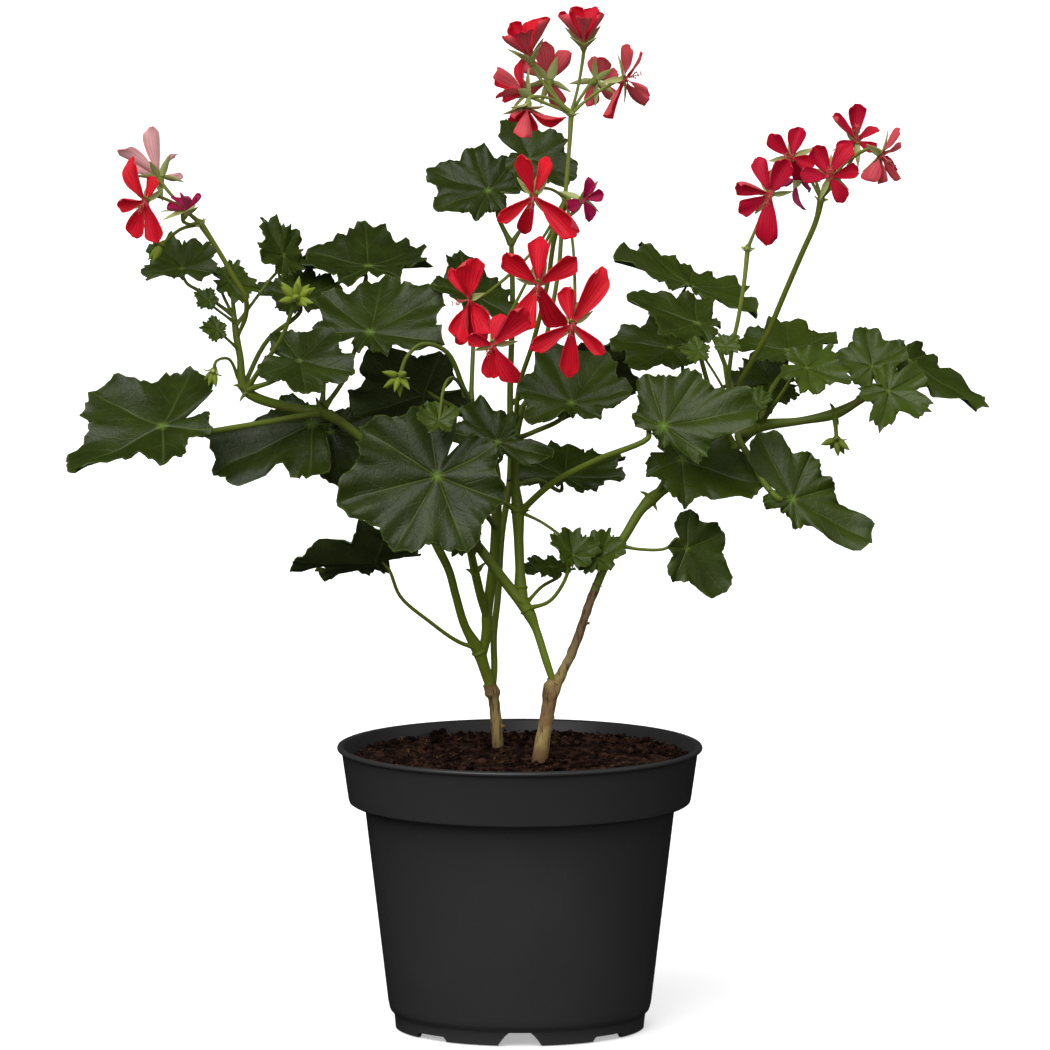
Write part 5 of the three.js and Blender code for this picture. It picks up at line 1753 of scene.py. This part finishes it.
@dataclass(frozen=True)
class Bloom:
    """A flower of four or five petals.

    They are (turn, lean, length) rows, and may end in a width share and a roll in degrees.
    """

    centre: Place
    faces: Bearing
    petals: list[tuple[float, ...]]
    colour: Petals = Petals.RED
    width: float = 0.9

    def frame(self) -> tuple[Vector, Vector, Vector]:
        """Work out how the bloom lies.

        Returns:
            Its axis and two directions across it.
        """
        axis = direction(self.faces)
        level = SLANT.cross(axis).normalized()
        return axis, level, axis.cross(level)

    def ways(self) -> list[Petal]:
        """Put the petals in order of their bearing.

        Returns:
            The petals, with the turns to their neighbours.
        """
        _, level, across = self.frame()
        found = []
        for turn, lean, length, *shape in self.petals:
            along = direction((turn, lean))
            found.append(Petal(along, length, math.atan2(along.dot(across), along.dot(level)), *shape))
        found.sort(key=lambda petal: petal.bearing)
        count = len(found)
        return [
            replace(petal, before=turn_between(found[k - 1].bearing, petal.bearing),
                    after=turn_between(petal.bearing, found[(k + 1) % count].bearing))
            for k, petal in enumerate(found)
        ]

    def build(self, name: str, house: "Plant", rng: random.Random, depth: float) -> None:
        """Make the corolla's petals.

        Args:
            name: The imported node's name.
            house: The plant, which holds the patterns and finishes.
            rng: Draws each petal's shade and ripple.
            depth: How deep the flower's colour is, from 0 to 1.
        """
        axis, _, _ = self.frame()
        middle = at(self.centre)
        corolla = Foliage()
        for k, petal in enumerate(self.ways()):
            normal = (axis - petal.along * axis.dot(petal.along)).normalized()
            side = normal.cross(petal.along)
            roll = math.radians(petal.roll + rng.uniform(-14, 14))
            flat = side * math.cos(roll) + normal * math.sin(roll)
            lift = normal * math.cos(roll) - side * math.sin(roll)
            width = (3 + 0.42 * petal.length) * self.width * petal.width
            curl = rng.uniform(-0.2, -0.02) if k % 2 else rng.uniform(-0.02, 0.1)
            spread = petal.along.cross(axis).length
            tilt = normal.dot(axis) * petal.along.dot(axis)
            ripple, notch, fold = rng.uniform(0, math.tau), rng.uniform(0.0, 0.05), rng.uniform(0.3, 1.5)

            def place(point: Spot) -> Vector:
                """Carry a pattern point on to the curled and rippled petal, clear of its neighbours.

                Args:
                    point: Its place along and across the strip.

                Returns:
                    Its place in space.
                """
                s, y = point
                inset = notch * (1 - abs(y)) ** 3 * s**8
                far = mix(0.35, petal.length, s * (1 - 0.13 * abs(y) ** 2.2 * s**5) - inset)
                rise = petal.length * curl * (s * s + 0.8 * s**5)
                radius = max(far * spread - rise * tilt, 0.0)
                room = half_room(radius, petal.before if y < 0 else petal.after)
                reach = min(abs(y) * between(PETAL_SHAPE, s) * width, room)
                wave = width * (0.26 * y * y - 0.12) * smooth(s * 1.6) * fold
                wave += width * 0.07 * math.sin(4.2 * y + ripple + 4 * s) * s**2
                turned = smooth(s * 2.2)
                way = side.lerp(flat, turned).normalized() * math.copysign(reach, y)
                return middle + (petal.along * far + way + normal * rise + lift * wave) * MM

            shade = min(max(depth + rng.uniform(-0.15, 0.15), 0.0), 1.0)
            corolla.add(house.petal, place, lambda corner, _: (corner[1], corner[0]),
                        lambda point: max(abs(point[1]), point[0]), shade)
        piece = corolla.build(name + "_petals", PETAL_THICKNESS_MM)
        dress(piece, house.petals[self.colour], self.colour.value, name)

    def cup(self) -> tuple[Vector, Vector, Vector]:
        """Place the calyx behind the petals.

        Returns:
            Its top and foot in metres, and its axis.
        """
        axis = direction(self.faces)
        top = at(self.centre) - axis * 0.35 * MM
        return top, top - axis * CALYX_MM * MM, axis

    def stem(self, start: Place) -> Limb:
        """Run the pedicel, which widens into the calyx.

        Args:
            start: The stalk's end.

        Returns:
            The pedicel.
        """
        top, foot, axis = self.cup()
        root = at(start)
        out = root + (foot - root).normalized() * (0.4 * KNOB_MM * MM)
        bend = root.lerp(foot, 0.55) - axis * (0.12 * (foot - root).length)
        return Limb([
            (*as_place(out), 0.68), (*as_place(bend), 0.62), (*as_place(foot), 0.78),
            (*as_place(foot.lerp(top, 0.5)), 1.5), (*as_place(top), 1.75),
        ], 6, flare=0.25)

    def add_sepals(self, sheets: Foliage, stencil: Stencil) -> None:
        """Add the narrow sepals, one behind each gap between two petals.

        Args:
            sheets: The sheets that they join.
            stencil: A strip.
        """
        top, _, axis = self.cup()
        _, level, across = self.frame()
        ways = self.ways()
        for k, petal in enumerate(ways):
            following = ways[(k + 1) % len(ways)]
            forward = min(petal.along.dot(axis), following.along.dot(axis))
            # Behind a trumpet the sepals stand closer to the petals, and are wider.
            trumpet = forward > 0.55
            gap, aside, back, width = (0.08, 1.7, 1.6, 2.0) if trumpet else (0.32, 1.1, 0.7, 1.35)
            forward -= gap
            bearing = petal.bearing + petal.after / 2
            out = level * math.cos(bearing) + across * math.sin(bearing)
            foot = top + (out * aside - axis * back) * MM
            way = out * math.sqrt(max(1 - forward**2, 0.1)) + axis * forward
            add_lance(sheets, stencil, foot, foot + way * SEPAL_LENGTH_MM * MM, axis, width, 0.2)

    def stamens(self, rng: random.Random) -> tuple[list[Limb], list[Limb]]:
        """Make five filaments with their anthers, and the style with its star in their midst.

        Args:
            rng: Draws the filaments' bearings and lengths.

        Returns:
            The filaments with the style, and the anthers.
        """
        axis, level, across = self.frame()
        middle = at(self.centre)
        threads, anthers = [], []
        for k in range(6):
            turn = k * math.tau / 5 + rng.uniform(-0.2, 0.2)
            out = (level * math.cos(turn) + across * math.sin(turn)) * (0.24 if k < 5 else 0.0)
            way = (axis + out).normalized()
            length = rng.uniform(4.2, 5.6) if k < 5 else 7.0
            knee = middle + (axis * 0.55 + out * 0.25) * (length * MM)
            end = middle + way * length * MM
            rows = [(*as_place(middle), 0.3), (*as_place(knee), 0.17), (*as_place(end), 0.13)]
            threads.append(Limb(rows, 3))
            if k < 5:
                bar = (level * math.sin(turn) - across * math.cos(turn)) * 0.75 * MM
                ends = (as_place(end - bar), as_place(end), as_place(end + bar))
                anthers.append(Limb([(*spot, r) for spot, r in zip(ends, (0.12, 0.36, 0.12))], 3))
            else:
                for j in range(5):
                    lobe = j * math.tau / 5
                    flat = level * math.cos(lobe) + across * math.sin(lobe)
                    tip = end + (flat * 1.7 + axis * 0.5) * MM
                    threads.append(Limb([(*as_place(end), 0.16), (*as_place(tip), 0.09)], 2))
        return threads, anthers


@dataclass(frozen=True)
class Umbel:
    """A flower stalk with blooms on pedicels from its end, and sometimes more buds.

    The stalk may be a pale one, and depth is how deep the blooms' colour is, from 0 to 1.
    """

    stalk: list[Row]
    blooms: list[Bloom]
    buds: list[BudCluster] = field(default_factory=list)
    pale: bool = False
    depth: float = 0.25

    def build(self, name: str, house: "Plant") -> None:
        """Make the stalk, calyces, petals and stamens.

        Args:
            name: The umbel's name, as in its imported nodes.
            house: The plant, which holds the patterns and finishes.
        """
        rng = random.Random(name)
        end = self.stalk[-1][:3]
        way = (at(end) - at(self.stalk[-2][:3])).normalized()
        low, high = (as_place(at(end) + way * step * MM) for step in (-2.0, 1.5))
        slim = [(*row[:3], row[3] * STALK_SHARE) for row in self.stalk]
        stems = [Limb(slim, 7, flare=0.5), Limb([(*low, 0.9), (*end, KNOB_MM * 0.8), (*high, 0.8)], 5)]
        stems.extend(bloom.stem(end) for bloom in self.blooms)
        buds = [bud for cluster in self.buds for bud in cluster.buds()]
        for cluster in self.buds:
            stems.extend(cluster.stem())
        skin = house.pale_stalk if self.pale else house.stalk
        dress(limbs(f"stalk_{name}_stems", stems, 12), skin, "stalk", f"stalk_{name}")
        green = Foliage()
        for bloom in self.blooms:
            bloom.add_sepals(green, house.lance)
        for k in range(6):
            out = turned_round(SLANT.cross(way).normalized(), way, k * math.tau / 6)
            foot = at(end) + (out * 1.4 - way * 1.2) * MM
            add_lance(green, house.lance, foot, foot + (out * 2.0 + way * 1.4) * MM, way, 0.8, 0.2)
        dress(green.build(f"stalk_{name}_sepals", SEPAL_THICKNESS_MM), house.sepal, "stalk")
        threads, anthers = [], []
        for k, bloom in enumerate(self.blooms):
            bloom.build(f"bloom_{name}_{k + 1}", house, rng, self.depth)
            if bloom.colour is not Petals.MAGENTA:
                more_threads, more_anthers = bloom.stamens(rng)
                threads.extend(more_threads)
                anthers.extend(more_anthers)
        dress(limbs(f"stamens_{name}", threads, 6), house.thread, "petal_pink")
        dress(limbs(f"anthers_{name}", anthers, 6), house.anther, "petal_magenta")
        if buds:
            dress(limbs(f"stalk_{name}_buds", buds, 10), house.bud, "stalk")


UMBELS: dict[str, Umbel] = {
    "top": Umbel(
        stalk=[(1, 256, 5, 1), (6, 266, 8, 1.2), (15.5, 310, 4, 1.2), (17, 327, 2, 1.2),
         (18.5, 343, 0, 1.2), (20, 360, 0, 1.1), (21, 377, 0, 1.5)],
        blooms=[
            Bloom((4, 400, -4), (108, 10),
                 [(143, 20, 15), (122, -15, 16), (104, 30, 17), (88, -20, 18.5), (70, 15, 19)]),
            Bloom((26, 406, -8), (90, 20),
                 [(128, 20, 17), (112, -10, 15), (92, 35, 16), (76, -15, 16), (52, 15, 15)]),
            Bloom((43, 391, -6), (20, 20),
                 [(94, 20, 16, 1.1, 55), (48, -10, 13, 1, 45), (330, 20, 13, 1, -50),
                  (298, -35, 16.5, 1, -60), (240, 30, 20, 1, -45)]),
            Bloom((2, 385, -6), (150, 20),
                 [(172, 25, 13, 1, 20), (150, -20, 14), (128, 20, 17, 1, -40), (106, -10, 15),
                  (200, -10, 10)]),
            Bloom((3, 378, -18), (260, 25),
                 [(255, 50, 15), (328, 15, 15), (290, -20, 10), (200, 20, 8), (225, -20, 10)]),
            Bloom((12, 391, 14), (95, -65),
                 [(98, -10, 16), (54, -20, 15), (150, -20, 13), (202, 0, 10), (290, -10, 13)]),
            Bloom((31, 391, 12), (30, -60),
                 [(62, 10, 11), (15, -10, 10), (95, -20, 10), (258, -10, 11), (310, 0, 11)]),
        ],
        pale=True,
        depth=0.4,
    ),
    "centre": Umbel(
        stalk=[(-1.6, 250, 4, 1), (-1.2, 257, -2, 1.3), (0, 266, -4, 1.3), (5.5, 283, -6, 1.3),
         (11.5, 308, -8, 1.3), (14, 324.5, -10, 1.3), (19, 342, -12, 1.9)],
        blooms=[
            Bloom((5.7, 342, -32), (250, 55),
                 [(107, 15, 19.5, 0.75), (70, -10, 18, 0.7), (212, 15, 18.5, 0.7), (254, -10, 18.5, 0.7),
                  (324, 25, 26, 0.9)]),
            Bloom((25.8, 341, -24), (20, 45), [(62, 10, 9), (20, 10, 9), (205, 20, 8), (300, 10, 9)],
                 Petals.MAGENTA),
            Bloom((7.4, 306, -43), (260, 60),
                 [(136, 10, 19.5), (90, -5, 19.5), (32, -10, 19.5), (246, 20, 22), (296, -10, 23)]),
            Bloom((21.3, 289.5, -54), (250, 60),
                 [(98, -15, 16), (58, 5, 26, 0.85), (210, 15, 20.5, 0.75), (266, -5, 23, 0.7),
                  (320, 15, 18.5, 0.75)]),
            Bloom((-11, 281, -56), (230, 60),
                 [(75, -15, 14), (47, 15, 22), (296, 10, 18), (266, -15, 15), (160, 10, 11)]),
            Bloom((-20.5, 300, -26), (190, 15),
                 [(98, 20, 18, 1.35, 65), (125, -20, 16, 0.6, 40), (250, 20, 18, 1.2, -60),
                  (278, -35, 24, 1.2, -65), (300, 45, 19.6, 1.1, -50)]),
        ],
    ),
    "left": Umbel(
        stalk=[(-116, 284, 5, 0.8), (-112, 294, 1, 1.4), (-112, 301, -2, 1.4), (-117, 310, -3, 1.4),
         (-123, 320.5, -4, 1.3), (-130.5, 332, -5, 1.8)],
        blooms=[
            Bloom((-147.6, 351.5, 4), (120, -40),
                 [(99, 10, 22), (139, 15, 22), (348, -20, 11), (60, -30, 12), (170, -20, 14)],
                 Petals.PINK, 0.6),
            Bloom((-152.5, 340.5, -16), (230, 55),
                 [(120, 10, 17.5), (72, -10, 11), (186, 20, 12), (252, -5, 16.5), (285, 15, 18)]),
            Bloom((-136, 337, -14), (75, 15), [(170, 10, 8), (92, 40, 11), (40, 10, 9), (130, -30, 9)],
                 Petals.MAGENTA),
        ],
        buds=[
            BudCluster((-146, 323, 0), (240, 10), 2, [(-131.5, 331.5, -5, 0.8), (-139, 329, -2, 0.7)],
                 width=3, spread=20),
        ],
    ),
    "right_front": Umbel(
        stalk=[(97, 248, 8, 0.8), (86, 262.5, 0, 1.2), (85.5, 269, -2, 1.2), (87.3, 283.5, -3, 1.2),
         (89, 291.5, -4, 1.2), (91.4, 306, -5, 1.2), (93, 321.5, -6, 1.4)],
        blooms=[
            Bloom((101.7, 343, -28), (240, 65),
                 [(160, 10, 15.5), (204, 15, 15.5), (117, -10, 16.5), (64, 5, 16.5), (263, 20, 20)]),
        ],
        pale=True,
        depth=0.8,
    ),
    "right_back": Umbel(
        stalk=[(97.5, 249, 8, 0.8), (89.5, 263, 8, 1.5), (95, 275, 6, 1.5), (101.7, 287.5, 3, 1.5),
         (107.8, 302, 1, 1.5), (114.8, 318.5, -1, 1.5), (121, 333, -2, 1.5), (123, 342, -2, 1.9)],
        blooms=[
            Bloom((110.7, 358.5, -8), (150, 65),
                 [(134, 10, 13.5), (76, -10, 13.5), (234, 15, 18), (345, 10, 10), (290, -10, 12)]),
            Bloom((126, 350.5, -22), (90, 60),
                 [(118, -10, 14), (60, 10, 15.5), (8, -10, 12.5), (176, 10, 12.5), (304, 10, 12)]),
            Bloom((113, 350, 4), (220, 10), [(262, 10, 12), (330, -45, 10), (200, -20, 9), (180, 20, 8)],
                 Petals.MAGENTA),
            Bloom((137.5, 366, 2), (90, 30),
                 [(133, 10, 15), (88, -10, 15), (326, 10, 9), (30, -20, 11), (200, 30, 10)]),
            Bloom((147.5, 359.5, -8), (320, 20),
                 [(62, 10, 14, 1, 50), (300, -40, 14, 1.3, -60), (272, -15, 12.5, 1.3, -60),
                  (236, 15, 13, 1.2, -50), (20, -20, 10, 1, 50)]),
        ],
        depth=0.8,
    ),
}


@dataclass
class Plant:
    """Both rooted plants, with the patterns and finishes that their parts share."""

    ring_shares: tuple[float, ...] = (0.07, 0.18, 0.32, 0.46, 0.6, 0.73, 0.84, 0.92, 0.97, 1.0)

    def __post_init__(self) -> None:
        """Model the patterns and mix the finishes."""
        self.large_disc = Stencil.disc(132, list(self.ring_shares))
        self.small_disc = Stencil.disc(96, [0.1, 0.3, 0.52, 0.72, 0.87, 1.0])
        self.petal = Stencil.strip(14, 12)
        self.lance = Stencil.strip(7, 4)
        self.leaf = LeafFinish().material()
        # The green stems are paler low down, where the leaves shade them: partly their own olive colour
        # and partly painted light.
        self.stem = StemFinish("green_stem", (0.125, 0.17, 0.011), (0.09, 0.125, 0.011)).material()
        self.stalk = StemFinish("flower_stalk", (0.085, 0.11, 0.006), (0.14, 0.17, 0.014), low_mm=270,
                                high_mm=360, fleck=(0.12, 0.05, 0.02)).material()
        self.pale_stalk = StemFinish("pale_stalk", (0.09, 0.12, 0.012), (0.20, 0.245, 0.045), low_mm=260,
                                     high_mm=330, fleck=(0.20, 0.16, 0.06)).material()
        self.bud = StemFinish("bud_skin", (0.11, 0.145, 0.011), (0.19, 0.25, 0.021), low_mm=215,
                              high_mm=295, fleck=(0.12, 0.2, 0.03)).material()
        self.sepal = StemFinish("sepal_skin", (0.14, 0.19, 0.03), (0.36, 0.40, 0.14), low_mm=240,
                                fleck=(0.30, 0.14, 0.07)).material()
        self.thread = PetalFinish("stamen_thread", (0.62, 0.16, 0.13), (0.4, 0.05, 0.05), (0.5, 0.1, 0.1),
                                  (0.3, 0.02, 0.03)).material()
        self.anther = PetalFinish("anther", (0.42, 0.08, 0.02), (0.2, 0.03, 0.02), (0.3, 0.05, 0.02),
                                  (0.2, 0.02, 0.02)).material()
        self.petals = {
            Petals.RED: PetalFinish("petal_red", (0.62, 0.009, 0.018), (0.34, 0.002, 0.026),
                                    (0.53, 0.07, 0.085), (0.11, 0.0, 0.008)).material(),
            Petals.PINK: PetalFinish("petal_pink", (0.62, 0.08, 0.10), (0.50, 0.08, 0.10),
                                     (0.82, 0.44, 0.45), (0.42, 0.05, 0.07)).material(),
            Petals.MAGENTA: PetalFinish("petal_magenta", (0.33, 0.004, 0.052), (0.17, 0.002, 0.034),
                                        (0.42, 0.04, 0.125), (0.07, 0.0, 0.017)).material(),
        }

    @staticmethod
    def shade_of(leaf: Leaf) -> float:
        """Shade a leaf: small leaves and those on the right are brighter.

        Args:
            leaf: The leaf.

        Returns:
            Its shade, from 0 for dark to 1 for bright.
        """
        draw = random.Random(f"{leaf.hub} {leaf.size}").uniform(-0.12, 0.12)
        young = smooth((26 - leaf.size) / 16) * 0.6
        right = smooth((leaf.hub[0] + 10) / 90) * 0.35
        return min(max(0.12 + young + right + draw, 0.0), 1.0)

    def build(self) -> None:
        """Make every shoot and umbel."""
        for name, shoot in SHOOTS.items():
            shoot.build(name, self)
        for name, umbel in UMBELS.items():
            umbel.build(name, self)


@dataclass
class Studio:
    """A pale floor, soft lights, and the camera at the photograph's viewing angle.

    The camera stands at a distance in metres, looks down by an angle in degrees at a place from
    the pot's axis, and its frame is as wide as frame_mm there. The floor's measures are in metres.
    """

    distance: float = 6.0
    down: float = 7.7
    frame_mm: float = 429.9
    look_mm: Place = (2.13, 0.0, 207.5)
    sensor: float = 36.0
    floor: Colour = (0.8, 0.8, 0.8)
    floor_size: float = 30.0
    floor_drop: float = 0.0004

    def camera(self) -> None:
        """Add a long lens whose frame takes in the whole plant."""
        camera = bpy.data.cameras.new("camera")
        camera.sensor_width = self.sensor
        camera.lens = self.sensor * self.distance / (self.frame_mm * MM)
        camera.clip_end = 60.0
        seat = Bench.linked("camera", camera)
        tilt = math.radians(self.down)
        target = POT_AXIS + Vector(self.look_mm) * MM
        seat.location = target + Vector((0, -math.cos(tilt), math.sin(tilt))) * self.distance
        seat.rotation_euler = (math.pi / 2 - tilt, 0, 0)
        bpy.context.scene.camera = seat

    @staticmethod
    def sky() -> None:
        """Light the plant softly from above, with a white backdrop behind it in every view."""
        world = bpy.data.worlds.new("studio_sky")
        bpy.context.scene.world = world
        world.use_nodes = True
        world.cycles_visibility.glossy = False
        nodes, links = world.node_tree.nodes, world.node_tree.links
        split = nodes.new("ShaderNodeSeparateXYZ")
        links.new(nodes.new("ShaderNodeTexCoord").outputs["Generated"], split.inputs[0])
        # Between just below and just above the horizon, the sky brightens from 0.14 to 0.45.
        fade = nodes.new("ShaderNodeMapRange")
        for number, value in ((1, -0.1), (2, 0.1), (3, 0.14), (4, 0.45)):
            fade.inputs[number].default_value = value
        links.new(split.outputs[2], fade.inputs[0])
        seen = nodes.new("ShaderNodeMath")
        seen.operation = "MAXIMUM"
        links.new(fade.outputs[0], seen.inputs[0])
        links.new(nodes.new("ShaderNodeLightPath").outputs["Is Camera Ray"], seen.inputs[1])
        sky = nodes["Background"]
        sky.inputs[0].default_value = (1, 1, 1, 1)
        links.new(seen.outputs[0], sky.inputs[1])

    @staticmethod
    def sun(name: str, towards: Place, spread: float, power: float, glossy: bool = True) -> None:
        """Add a wide soft light that is as bright all over the floor.

        Args:
            name: The light's name.
            towards: Where it shines from.
            spread: Its angle in degrees, which softens its shadows.
            power: Its strength.
            glossy: Whether it gives highlights.
        """
        light = bpy.data.lights.new(name, "SUN")
        light.angle = math.radians(spread)
        light.energy = power
        seat = Bench.linked(name, light)
        seat.visible_glossy = glossy
        seat.rotation_euler = Vector(towards).to_track_quat("Z", "Y").to_euler()

    def build(self) -> None:
        """Set up the floor, the lights, the sky and the camera."""
        Bench.clear()
        bpy.ops.mesh.primitive_plane_add(size=self.floor_size, location=(0, 0, -self.floor_drop))
        ground = Bench.named("studio_floor")
        Bench.settle(ground)
        # The floor glows a little and lights nothing, so that it stays white and even.
        book = Book("studio_paper")
        book.set(Base_Color=self.floor, Roughness=0.9, Emission_Color=(1, 1, 1), Emission_Strength=0.4)
        ground.data.materials.append(book.material)
        ground.visible_diffuse = False
        ground.visible_glossy = False
        self.sky()
        self.sun("key", (-0.45, -0.8, 1.0), 55.0, 2.7)
        self.sun("fill", (0.9, -0.7, 0.55), 70.0, 0.45)
        self.sun("front", (-0.25, -1.0, 0.2), 30.0, 0.4)
        self.sun("back", (0.1, 1.0, 0.2), 100.0, 1.8, glossy=False)
        bpy.context.scene.view_settings.view_transform = "Standard"
        self.camera()


def main() -> None:
    """Build the studio, the pot, the soil and the plants."""
    logging.basicConfig(level=logging.INFO, format="%(message)s")
    Studio().build()
    NurseryPot().build()
    PottingSoil([BASE_LEFT, BASE_RIGHT]).build()
    WoodyBase("woody_base_left", "base_left", BASE_LEFT, [(-7.3, 124, 19.5, 1.3)]).build()
    WoodyBase("woody_base_right", "base_right", BASE_RIGHT,
              [(13.0, 128, -16.5, 1.4), (27.2, 167, -14, 1.1)], COLLAR_RIGHT).build()
    Plant().build()
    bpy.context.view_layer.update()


if __name__ == "__main__":
    main()
